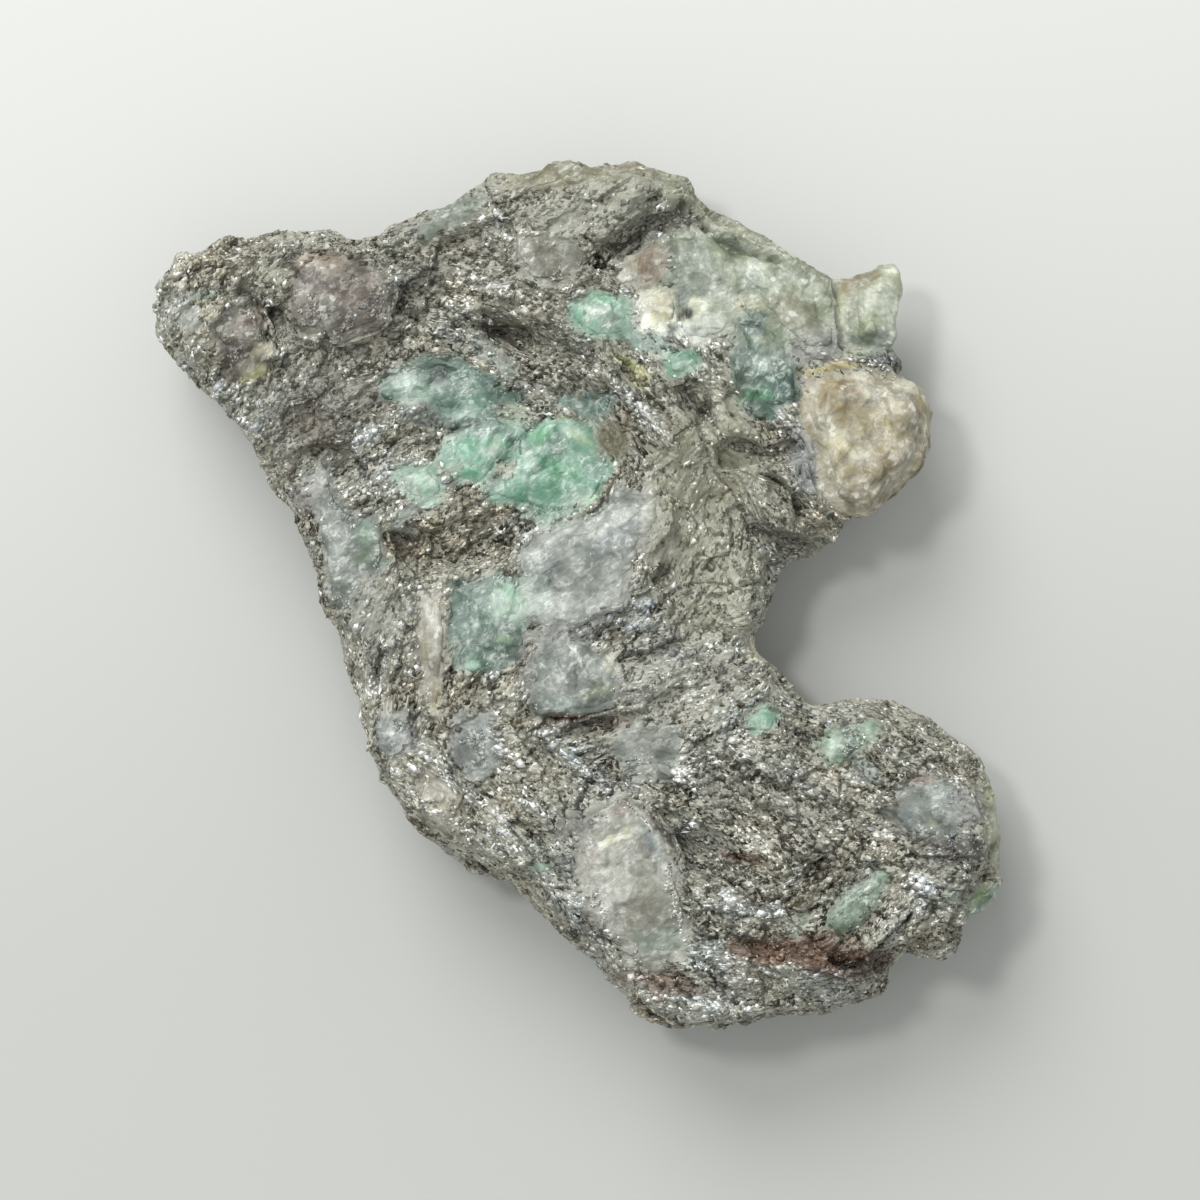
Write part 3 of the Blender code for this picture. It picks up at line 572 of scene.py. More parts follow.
STAINS = {
    "broad": [
        (8.0, -7.0, 6.0, 4.4, 24, (0.40, 0.40, 0.35), 0.55, 0.15),
        (9.6, 9.0, 4.6, 9.4, -16, (0.37, 0.365, 0.285), 0.7, 0.55),
        (11.0, 0.4, 4.2, 5.2, 0, (0.36, 0.355, 0.28), 0.6, 0.4),
        (16.0, -16.0, 7.0, 3.6, -30, (0.40, 0.40, 0.36), 0.35, 0.0),
        (-14.0, 24.6, 4.2, 3.0, 20, (0.16, 0.155, 0.135), 0.4, 0.0),
        (-6.0, 25.4, 4.4, 3.0, -14, (0.36, 0.36, 0.32), 0.35, 0.0),
    ],
    "left tip": [
        (-31.8, 22.6, 1.5, 1.9, 20, PALE_GREY, 0.7, 0.4),
        (-30.0, 23.8, 1.0, 0.9, 0, TEAL_DARK, 0.6, 0.3),
        (-26.4, 21.4, 1.9, 1.0, 45, (0.33, 0.28, 0.25), 0.7, 0.4),
        (-25.6, 19.4, 0.8, 0.7, 30, CREAM, 0.5, 0.4),
        (-26.0, 17.3, 1.2, 0.6, 25, YELLOW, 0.7, 0.4),
        (-28.3, 18.0, 1.8, 0.5, 55, PAINTED_DEEP_SHADE, 0.5, 0.0),
        (-26.4, 23.4, 2.2, 0.5, -35, PAINTED_DEEP_SHADE, 0.7, 0.0),
    ],
    "rosy hill": [
        (-19.0, 22.4, 5.6, 3.8, -10, (0.20, 0.19, 0.165), 0.6, 0.2),
        (-18.6, 24.2, 3.4, 1.5, -8, (0.215, 0.168, 0.142), 0.55, 0.3),
        (-20.6, 26.3, 2.4, 0.7, -3, (0.42, 0.36, 0.29), 0.7, 0.3),
        (-16.4, 20.2, 1.6, 0.6, 10, (0.40, 0.37, 0.29), 0.5, 0.3),
        (-23.0, 26.6, 1.5, 0.7, 35, PAINTED_DEEP_SHADE, 0.6, 0.0),
    ],
    "foliated ridge": [
        (-10.2, 30.4, 3.6, 1.4, 30, (0.27, 0.305, 0.265), 0.75, 0.85),
        (0.6, 33.6, 8.4, 1.5, 3, OLIVE, 0.85, 0.88),
        (3.8, 34.0, 1.6, 0.5, 5, ROSY, 0.5, 0.6),
        (8.6, 32.0, 3.2, 1.7, -25, (0.33, 0.34, 0.255), 0.9, 0.95),
        (15.0, 28.5, 8.4, 2.6, -38, PALE_OLIVE, 0.95, 1.0),
        # painted shadow along the crevice under the pale rim
        (12.6, 27.6, 5.4, 0.45, -34, (0.10, 0.10, 0.075), 0.8, 0.4),
        (5.8, 28.9, 3.3, 0.6, 22, PAINTED_DEEP_SHADE, 0.65, 0.1),
        (0.4, 30.6, 7.0, 2.2, 24, (0.34, 0.345, 0.285), 0.55, 0.5),
        (-6.4, 20.7, 2.0, 0.8, -24, PAINTED_DEEP_SHADE, 0.75, 0.0),
        (-4.6, 21.6, 4.0, 1.4, -20, (0.16, 0.15, 0.11), 0.45, 0.2),
    ],
    "pale corner": [
        (14.4, 23.6, 10.0, 4.6, -22, SAGE, 0.85, 0.97),
        (8.8, 25.4, 2.4, 3.4, 0, (0.29, 0.32, 0.28), 0.75, 0.8),
        (5.6, 26.2, 1.9, 1.6, 35, (0.36, 0.305, 0.245), 0.75, 0.6),
        (6.4, 23.2, 1.9, 1.5, 0, CREAM, 0.7, 0.8),
        (7.5, 21.2, 0.4, 0.9, 0, (0.10, 0.13, 0.12), 0.85, 0.6),
        (8.3, 22.3, 0.4, 0.5, 0, PAINTED_DEEP_SHADE, 0.8, 0.6),
        (8.2, 23.7, 0.5, 0.9, 0, (0.20, 0.24, 0.22), 0.7, 0.6),
        (9.6, 23.0, 1.2, 0.8, 10, (0.70, 0.72, 0.62), 0.8, 0.8),
        (9.1, 20.9, 1.3, 0.7, 15, (0.52, 0.53, 0.51), 0.7, 0.7),
        (14.0, 26.0, 1.6, 0.8, -20, (0.55, 0.58, 0.50), 0.6, 0.9),
        (13.9, 24.8, 1.1, 0.5, -30, (0.28, 0.33, 0.30), 0.6, 0.9),
        (13.6, 22.7, 1.6, 0.9, -10, (0.50, 0.49, 0.35), 0.6, 0.8),
        (22.2, 25.4, 2.4, 1.0, 25, (0.34, 0.31, 0.24), 0.8, 1.0),
        (21.0, 22.6, 0.5, 2.2, 8, (0.56, 0.57, 0.44), 0.7, 1.0),
        (24.6, 22.6, 1.6, 1.6, 0, (0.53, 0.57, 0.47), 0.7, 1.0),
        (23.4, 20.2, 3.0, 0.8, -12, (0.34, 0.38, 0.34), 0.8, 1.0),
        (17.6, 22.4, 2.6, 1.2, -30, (0.28, 0.27, 0.21), 0.6, 0.9),
        (18.8, 19.6, 2.8, 1.3, -4, (0.27, 0.275, 0.255), 0.8, 0.6),
        (18.2, 19.4, 0.9, 0.5, 0, (0.36, 0.35, 0.32), 0.6, 0.7),
        (25.4, 18.3, 2.2, 0.6, -20, (0.17, 0.18, 0.175), 0.85, 0.3),
        (20.2, 17.9, 2.8, 0.3, 8, (0.46, 0.40, 0.20), 0.85, 0.6),
        (20.8, 18.5, 1.8, 0.3, 12, CREAM, 0.7, 0.6),
    ],
    "green trail": [
        (3.2, 21.2, 2.6, 0.9, -30, TEAL_GREY, 0.8, 0.6),
        (5.8, 19.8, 2.2, 1.1, -25, (0.28, 0.37, 0.32), 0.7, 0.5),
        (3.6, 18.1, 1.5, 0.4, -32, (0.42, 0.44, 0.20), 0.8, 0.3),
        (4.8, 17.2, 1.1, 0.7, 0, YELLOW, 0.6, 0.3),
        (2.4, 19.6, 1.6, 0.8, -20, (0.34, 0.34, 0.26), 0.4, 0.3),
        (9.4, 15.2, 2.7, 0.5, -50, PAINTED_DEEP_SHADE, 0.7, 0.0),
        (1.6, 22.6, 1.2, 0.35, 0, WHITE, 0.3, 0.8),
        (2.0, 23.3, 1.6, 0.4, -5, (0.30, 0.52, 0.38), 0.6, 0.8),
        (14.2, 15.7, 1.4, 1.0, 0, LEAF, 0.65, 0.8),
        (14.4, 18.4, 1.1, 0.9, 0, (0.34, 0.44, 0.39), 0.45, 0.8),
        (13.6, 21.4, 1.6, 0.8, 20, (0.22, 0.28, 0.26), 0.7, 0.6),
    ],
    "teal band": [
        (-13.4, 16.2, 2.5, 1.1, -14, (0.44, 0.53, 0.46), 0.65, 0.8),
        (-8.2, 14.6, 2.1, 1.2, -30, (0.13, 0.27, 0.20), 0.6, 0.8),
        (-10.0, 17.6, 2.2, 0.9, -20, (0.16, 0.26, 0.21), 0.6, 0.5),
        (-11.5, 17.5, 0.9, 0.7, 0, (0.06, 0.10, 0.08), 0.8, 0.3),
        (-8.2, 13.4, 4.0, 0.9, -4, (0.25, 0.34, 0.295), 0.9, 0.85),
        (-12.4, 14.0, 2.6, 0.6, -18, (0.12, 0.14, 0.125), 0.85, 0.4),
        (-6.6, 18.4, 2.6, 1.0, -25, (0.25, 0.29, 0.26), 0.6, 0.4),
        (-7.9, 20.0, 1.6, 0.5, -10, (0.20, 0.26, 0.24), 0.4, 0.2),
        (-5.2, 14.4, 1.4, 0.7, 15, (0.36, 0.42, 0.33), 0.6, 0.4),
        (-10.4, 13.0, 2.8, 0.16, 8, PAINTED_DEEP_SHADE, 0.8, 0.3),
    ],
    "green middle": [
        (-3.0, 12.4, 1.5, 0.8, 60, (0.38, 0.57, 0.42), 0.6, 0.9),
        (-1.7, 9.4, 1.8, 1.3, 15, LEAF, 0.6, 0.9),
        (-1.4, 11.6, 1.0, 0.8, -20, (0.24, 0.32, 0.27), 0.6, 0.9),
        (0.0, 12.4, 1.2, 0.5, -45, (0.50, 0.57, 0.42), 0.6, 0.9),
        (-5.9, 9.6, 0.3, 1.0, -20, (0.60, 0.64, 0.54), 0.6, 0.9),
        (0.4, 7.6, 0.8, 0.5, 30, (0.60, 0.70, 0.58), 0.7, 0.9),
        (-2.9, 6.8, 2.0, 0.25, -10, (0.08, 0.22, 0.13), 0.8, 0.9),
        (-6.7, 8.7, 0.8, 0.7, 0, (0.38, 0.46, 0.41), 0.6, 0.9),
        (-8.4, 9.9, 1.3, 0.8, 10, (0.25, 0.46, 0.34), 0.6, 0.9),
        (-7.1, 11.4, 1.3, 0.5, 50, (0.58, 0.64, 0.56), 0.6, 0.9),
        (-5.5, 12.2, 0.45, 0.4, 0, (0.14, 0.19, 0.17), 0.7, 0.5),
        (-3.2, 5.9, 2.3, 0.6, -12, (0.36, 0.45, 0.39), 0.7, 0.5),
        (2.4, 12.0, 1.3, 1.9, 20, (0.185, 0.170, 0.108), 0.85, 0.7),
        (0.4, 15.5, 1.6, 0.15, 12, (0.12, 0.12, 0.05), 0.85, 0.5),
        (-0.6, 13.9, 1.6, 0.15, -8, (0.20, 0.26, 0.12), 0.7, 0.5),
        (0.8, 5.3, 1.8, 0.6, 45, (0.40, 0.43, 0.38), 0.5, 0.5),
    ],
    "left side": [
        (-12.4, 8.6, 1.5, 0.9, 0, (0.62, 0.70, 0.62), 0.6, 0.8),
        (-13.9, 8.6, 1.0, 0.8, 20, TEAL_GREY, 0.7, 0.5),
        (-13.6, 6.6, 0.7, 2.4, -32, (0.33, 0.38, 0.34), 0.7, 0.5),
        (-15.5, 5.4, 0.3, 1.5, -28, (0.44, 0.47, 0.33), 0.7, 0.4),
        (-17.2, 5.0, 1.0, 1.0, 0, (0.33, 0.42, 0.35), 0.6, 0.7),
        (-17.0, 2.9, 1.1, 0.6, 60, (0.36, 0.43, 0.34), 0.5, 0.4),
        (-15.9, 2.4, 0.8, 0.4, 10, (0.13, 0.22, 0.15), 0.7, 0.4),
        (-17.2, 0.7, 0.5, 0.7, 0, (0.58, 0.57, 0.50), 0.7, 0.6),
        (-21.4, 7.9, 1.2, 1.8, -20, (0.37, 0.36, 0.35), 0.7, 0.7),
        (-16.6, -1.6, 2.6, 2.2, 0, (0.27, 0.28, 0.25), 0.5, 0.5),
        (-14.3, 3.5, 1.8, 0.7, -22, BROWN_AND_PAINTED_SHADE, 0.85, 0.3),
        (-13.6, 4.3, 1.4, 0.3, -22, PAINTED_DEEP_SHADE, 0.9, 0.2),
        (-11.8, -2.2, 0.7, 2.2, 0, (0.50, 0.49, 0.45), 0.6, 0.6),
        (-11.6, -5.6, 1.0, 2.4, -4, (0.37, 0.355, 0.305), 0.7, 0.6),
        (-11.3, -8.6, 0.6, 1.6, -12, (0.48, 0.44, 0.32), 0.7, 0.5),
        (-10.6, -10.6, 0.2, 1.6, 4, RUST, 0.8, 0.3),
        (-14.8, -11.2, 1.9, 1.8, -20, (0.215, 0.228, 0.222), 0.85, 0.2),
        (-8.4, -12.0, 2.2, 2.3, 0, (0.240, 0.254, 0.248), 0.85, 0.2),
        (-7.6, -8.6, 1.9, 1.3, 20, (0.33, 0.32, 0.27), 0.6, 0.4),
        (-6.2, -7.5, 0.9, 0.15, -48, CREAM, 0.8, 0.5),
        (-10.9, -17.2, 2.0, 1.7, 20, (0.40, 0.385, 0.315), 0.9, 0.5),
        (-20.4, 14.6, 5.4, 4.2, 30, (0.165, 0.163, 0.145), 0.6, 0.1),
        (-20.8, 12.6, 3.6, 1.8, -50, (0.125, 0.105, 0.078), 0.7, 0.1),
        (-18.0, 15.6, 1.8, 0.9, -50, (0.26, 0.245, 0.205), 0.5, 0.2),
    ],
    "middle": [
        (-8.7, -2.0, 1.4, 2.6, 0, (0.21, 0.29, 0.255), 0.6, 0.9),
        (-5.6, -0.9, 1.2, 1.9, -15, (0.54, 0.66, 0.57), 0.75, 0.9),
        (-6.0, -4.0, 0.7, 0.45, 0, (0.52, 0.62, 0.46), 0.7, 0.9),
        (-8.7, -5.6, 0.6, 0.6, 0, (0.50, 0.62, 0.54), 0.8, 0.9),
        (-7.4, -4.8, 2.1, 0.35, 24, (0.13, 0.21, 0.17), 0.6, 0.8),
        (-3.8, -0.2, 1.4, 2.4, -10, (0.46, 0.52, 0.47), 0.75, 0.8),
        (-2.6, 1.6, 2.0, 0.9, 32, (0.24, 0.27, 0.27), 0.5, 0.8),
        (2.6, 4.0, 2.6, 1.3, 40, BLUE_GREY, 0.6, 0.8),
        (4.2, 7.8, 1.8, 0.8, 10, (0.33, 0.34, 0.32), 0.6, 0.7),
        (1.9, 0.8, 1.6, 0.3, 24, (0.56, 0.58, 0.54), 0.5, 0.8),
        (-2.2, -3.5, 2.4, 0.7, 5, (0.29, 0.30, 0.29), 0.75, 0.7),
        (-4.4, -5.8, 0.8, 2.2, 5, (0.22, 0.21, 0.19), 0.6, 0.4),
        (1.5, -2.8, 2.2, 0.4, 24, PAINTED_DEEP_SHADE, 0.9, 0.2),
        (2.7, -3.7, 1.1, 0.5, 0, BROWN_AND_PAINTED_SHADE, 0.8, 0.3),
        (0.2, -5.4, 0.2, 1.2, -6, (0.58, 0.60, 0.56), 0.8, 0.9),
        (2.5, -5.6, 0.6, 0.8, 0, (0.46, 0.46, 0.38), 0.8, 0.8),
        (1.3, -8.0, 1.3, 0.7, 20, (0.40, 0.42, 0.33), 0.7, 0.8),
        (-1.4, -8.7, 1.6, 0.6, 10, (0.27, 0.33, 0.30), 0.6, 0.8),
        (-1.2, -10.1, 2.2, 0.35, 2, RUST, 0.9, 0.2),
        (2.4, -10.6, 1.8, 0.5, -6, ROSY, 0.6, 0.3),
        (5.6, -12.6, 2.6, 1.6, -10, (0.28, 0.29, 0.26), 0.6, 0.5),
        # painted glint: a near-white spot where mica glints
        (8.0, -14.4, 0.7, 0.5, 0, (0.95, 0.95, 0.92), 0.9, 0.0),
    ],
    "prism": [
        (2.8, -19.6, 1.9, 0.36, 26, (0.66, 0.655, 0.56), 0.9, 0.9),
        (3.6, -17.3, 1.0, 0.8, -30, (0.30, 0.245, 0.225), 0.6, 0.8),
        (5.8, -20.0, 1.7, 0.6, -50, (0.31, 0.35, 0.35), 0.65, 0.8),
        (4.8, -22.2, 1.4, 1.0, 40, (0.48, 0.49, 0.44), 0.55, 0.8),
        (6.6, -28.0, 2.0, 1.6, 0, (0.29, 0.33, 0.285), 0.7, 0.9),
        (0.8, -21.6, 1.1, 1.6, 0, (0.35, 0.315, 0.29), 0.5, 0.8),
        (4.6, -25.8, 1.8, 1.3, 10, (0.33, 0.31, 0.27), 0.5, 0.8),
        (6.6, -18.9, 2.5, 0.35, -48, PAINTED_DEEP_SHADE, 0.8, 0.1),
        (-0.4, -18.4, 1.4, 1.2, 0, (0.18, 0.185, 0.175), 0.5, 0.5),
        (-3.0, -22.1, 1.1, 0.7, 10, (0.31, 0.41, 0.33), 0.8, 0.5),
        # painted shade in the crevice beside the prism
        (1.0, -27.0, 1.4, 1.0, -40, (0.075, 0.070, 0.060), 0.6, 0.1),
        (5.4, -31.2, 3.6, 1.0, -14, (0.16, 0.12, 0.095), 0.6, 0.2),
    ],
    "lobe": [
        (20.3, -12.2, 0.9, 0.55, 35, (0.66, 0.78, 0.66), 0.8, 0.8),
        (22.7, -10.7, 0.7, 0.5, 30, (0.44, 0.54, 0.42), 0.7, 0.6),
        (21.6, -12.2, 1.8, 0.7, 30, TEAL_GREY, 0.5, 0.4),
        (23.0, -14.4, 1.8, 0.9, -30, (0.29, 0.33, 0.31), 0.6, 0.4),
        # painted glint: a cluster of glinting mica
        (22.3, -14.9, 0.7, 0.5, 0, PAINTED_GLINT_SILVER, 0.8, 0.2),
        (28.3, -16.4, 1.6, 0.9, 30, (0.35, 0.39, 0.37), 0.7, 0.8),
        (26.3, -17.6, 1.2, 0.9, -20, BLUE_GREY, 0.7, 0.8),
        (28.1, -18.4, 0.7, 0.5, 0, (0.50, 0.50, 0.42), 0.75, 0.8),
        (27.4, -14.8, 1.1, 0.25, -10, (0.27, 0.17, 0.14), 0.7, 0.4),
        (30.9, -17.4, 1.5, 2.0, 5, (0.31, 0.31, 0.30), 0.7, 0.6),
        (33.6, -18.0, 1.5, 5.6, 4, (0.43, 0.44, 0.35), 0.9, 0.95),
        (29.4, -20.2, 3.8, 0.8, -12, PAINTED_DEEP_SHADE, 0.75, 0.0),
        (32.0, -24.5, 1.2, 0.8, 35, (0.34, 0.40, 0.26), 0.7, 0.8),
        (29.6, -24.2, 1.3, 1.0, 30, (0.24, 0.29, 0.23), 0.5, 0.4),
        (21.2, -25.2, 1.5, 0.8, 42, (0.38, 0.44, 0.38), 0.6, 0.8),
        (23.6, -22.9, 1.3, 0.7, 40, (0.27, 0.34, 0.27), 0.6, 0.7),
        (13.9, -4.6, 0.6, 1.0, 0, CREAM, 0.8, 0.3),
        (26.4, -6.9, 4.0, 0.6, -28, PALE_OLIVE, 0.6, 0.5),
    ],
    "foot": [
        (19.6, -29.0, 6.0, 1.7, -8, RUST, 0.95, 0.1),
        (14.6, -28.6, 3.2, 1.3, -14, RUST, 0.8, 0.1),
        (22.6, -30.0, 2.4, 0.6, -6, PAINTED_DEEP_SHADE, 0.8, 0.0),
        (12.6, -21.2, 2.8, 0.5, -12, RUST, 0.7, 0.1),
        (14.4, -24.6, 2.4, 0.4, 8, RUST, 0.5, 0.1),
        (17.9, -26.3, 1.3, 0.9, 30, (0.29, 0.34, 0.27), 0.65, 0.4),
        (7.6, -31.4, 3.2, 1.1, -12, RUST, 0.5, 0.1),
        (12.2, -31.6, 3.0, 1.0, 0, (0.26, 0.27, 0.27), 0.4, 0.1),
    ],
    "right slope": [
        (6.6, 1.6, 1.0, 1.0, 0, PAINTED_DEEP_SHADE, 0.7, 0.0),
        (18.0, 10.2, 1.1, 2.6, 12, (0.29, 0.31, 0.32), 0.7, 0.6),
        (13.0, 11.8, 2.6, 0.5, -25, PAINTED_DEEP_SHADE, 0.5, 0.0),
        (15.6, 4.8, 4.0, 0.6, -22, PAINTED_DEEP_SHADE, 0.6, 0.1),
    ],
    "nodule": [
        (20.2, 12.4, 1.3, 1.5, 10, (0.60, 0.58, 0.46), 0.7, 0.9),
        (22.2, 11.0, 1.2, 0.7, 15, (0.62, 0.59, 0.47), 0.7, 0.9),
        (22.8, 16.4, 0.8, 1.1, 10, (0.60, 0.57, 0.46), 0.7, 0.9),
        (26.3, 16.6, 1.1, 0.6, -20, (0.66, 0.66, 0.57), 0.75, 0.9),
        (23.7, 13.9, 0.6, 0.5, 0, (0.62, 0.60, 0.50), 0.6, 0.9),
        (20.6, 14.6, 1.8, 0.4, 5, (0.50, 0.44, 0.32), 0.6, 0.9),
        (21.4, 16.4, 1.2, 0.8, 30, (0.40, 0.32, 0.22), 0.6, 0.9),
        (26.9, 12.5, 1.3, 0.7, 15, (0.26, 0.24, 0.16), 0.65, 0.9),
        (25.0, 9.7, 2.2, 0.6, 38, (0.27, 0.24, 0.165), 0.6, 0.9),
        (22.8, 7.4, 1.8, 0.8, 20, (0.28, 0.25, 0.19), 0.5, 0.9),
        (27.6, 14.6, 0.5, 2.4, 0, (0.50, 0.47, 0.34), 0.5, 0.9),
        (19.4, 9.6, 0.6, 1.8, 15, (0.50, 0.48, 0.38), 0.6, 0.9),
    ],
}
RAGGED_EDGE = 0.55
STAIN_FADE = (0.55, 1.25)
STAIN_HEIGHTS = (2.5, 6.5)


def stain_at(points):
    """The stain's colour with its strength as alpha, and how smooth the stone is, at each point."""
    shift = np.column_stack([layered_noise(points, 1.5, 3, 60), layered_noise(points, 1.5, 3, 70)])
    colours = np.zeros((len(points), 4))
    smoothness = np.zeros(len(points))
    upper = smooth_step(*STAIN_HEIGHTS, points[:, 2])
    for x, y, half_length, half_width, turn, colour, strength, smooth in sum(STAINS.values(), []):
        angle = math.radians(turn)
        reach = 1.3 * max(half_length, half_width)
        near = np.flatnonzero(np.max(np.abs(points[:, :2] - (x, y)), axis=1) < reach + RAGGED_EDGE)
        away = points[near, :2] + RAGGED_EDGE * min(1.0, 0.2 + half_width) * shift[near] - (x, y)
        along = away @ (math.cos(angle), math.sin(angle)) / half_length
        across = away @ (-math.sin(angle), math.cos(angle)) / half_width
        share = upper[near] * (1.0 - smooth_step(*STAIN_FADE, np.hypot(along, across)))
        blend = strength * share
        colours[near, :3] += blend[:, None] * (np.array(colour) - colours[near, :3])
        colours[near, 3] += blend * (1.0 - colours[near, 3])
        smoothness[near] += share * (smooth - smoothness[near])
    colours[:, :3] /= np.maximum(colours[:, 3:4], 1e-6)
    return colours, smoothness


print("stains:", sum(len(group) for group in STAINS.values()))

# %% [markdown]
# Round each crystal the schist takes on a little of its colour, which hides the line where they meet.

# %% A halo round each crystal
HALO_REACH = 0.85
HALO_RAGGED = 0.5
HALO_SMOOTH = 0.85
HALO_TONE = 0.92
HALO_HEIGHTS = (2.0, 5.0)


def dress(points):
    """The colour with its strength, the smoothness, and the depth inside a crystal, at each point."""
    colours, smoothness = stain_at(points)
    depth, body = crystal_near(points)
    outside = HALO_RAGGED * layered_noise(points, 1.4, 3, 110) - depth
    share = (1.0 - smooth_step(0.0, HALO_REACH, outside)) * smooth_step(*HALO_HEIGHTS, points[:, 2])
    left = (1.0 - colours[:, 3]) * share
    alpha = colours[:, 3] + left
    tint = colours[:, :3] * colours[:, 3:4] + HALO_TONE * body * left[:, None]
    smoothness = np.maximum(smoothness, HALO_SMOOTH * share)
    return np.column_stack([tint / np.maximum(alpha, 1e-6)[:, None], alpha]), smoothness, depth


# %% [markdown]
# ## The schist's own surface
# On the real stone there is no gap between crystal and schist, and hardly a step either, but the solid
# model has both. So the slab is fused with swollen copies of its crystals, set a little lower than the
# real tops. A voxel remesh makes one skin of it all, which rises gently to each crystal, and the crystals
# come through it. Where a copy's corner isn't over the slab it doesn't swell, so the outline stays. Five
# crystals at the slab's rim, and one beside a deep fold, get a second copy that closes a gap.

# %% Fuse the slab and its crystals into one skin
SKIN_VOXEL = 0.28
SWELL = 1.3
UNDER_TOP = 0.08
LOWERED = {"quartz_nodule": 0.35, "quartz_lump": 0.3}
FILLERS = {
    "beryl_tip": (-0.5, -0.2, -0.15), "beryl_pale_right": (0.45, 0.0, -0.15),
    "quartz_nodule": (-0.45, 0.15, -0.9), "emerald_rim_chip": (-0.45, 0.10, -0.50),
    "quartz_corner_chip": (0.30, 0.30, -0.45), "quartz_lump": (0.80, 0.10, -0.35),
}
SKIN_FACES = 190_000


def collar(name):
    """A copy of a crystal that is swollen where it is over the slab, with its top just under the real one."""
    copy = welded(nodes[name])
    own, swollen = points_of(copy), points_of(welded(nodes[name], SWELL))
    above = np.column_stack([swollen[:, :2], np.full(len(own), 2.0 * FACE_HEIGHT)]) * MM
    over_slab = [slab_tree.ray_cast(point, (0.0, 0.0, -1.0))[0] is not None for point in above.tolist()]
    points = np.where(np.array(over_slab)[:, None], swollen, own)
    points[:, 2] = np.minimum(points[:, 2], own[:, 2]) - UNDER_TOP - LOWERED.get(name, 0.0)
    move_points(copy, points)
    return copy


joined = bmesh.new()
joined.from_mesh(welded(nodes["schist_matrix"]))
for name in crystal_names:
    joined.from_mesh(collar(name))
for name, shift in FILLERS.items():
    filler = welded(nodes[name])
    move_points(filler, points_of(filler) + shift)
    joined.from_mesh(filler)
skin = bpy.data.meshes.new("schist")
joined.to_mesh(skin)
joined.free()
schist = new_object("schist", skin)
work_in(schist, "REMESH", mode="VOXEL", voxel_size=SKIN_VOXEL * MM)
work_in(schist, "SMOOTH", factor=0.5, iterations=6)
print("skin points:", len(schist.data.vertices))

# %% [markdown]
# Crystals still stand on the slab like pebbles, each on a plateau with a sharp drop round it. On the real
# stone the schist slopes up to them. Evening out the heights of the upper points alone makes such a
# slope, and leaves the outline where it is.

# %% Ease the slopes round the crystals
EASE_PASSES = 36
EASE_SHARE = 0.7


def ease_heights(mesh, passes):
    """Evens out the heights of the points that face up, a little in each pass."""
    edges = np.empty(2 * len(mesh.edges), dtype=np.int32)
    mesh.edges.foreach_get("vertices", edges)
    ends = np.concatenate([edges[0::2], edges[1::2]])
    others = np.concatenate([edges[1::2], edges[0::2]])
    points = points_of(mesh)
    degree = np.maximum(np.bincount(ends, minlength=len(points)), 1)
    share = EASE_SHARE * smooth_step(0.3, 0.8, normals_of(mesh)[:, 2])
    for _ in range(passes):
        mean = np.bincount(ends, weights=points[others, 2], minlength=len(points)) / degree
        points[:, 2] += share * (mean - points[:, 2])
    move_points(mesh, points)


ease_heights(schist.data, EASE_PASSES)

# %% [markdown]
# The large forms of the broken face come first. Each line below is a crevice or a ridge that the real
# stone has: its two ends, its half width, and its height, which is below zero for a crevice. They are what
# casts the larger shadows, between the foliated ridge and the pale corner for example.

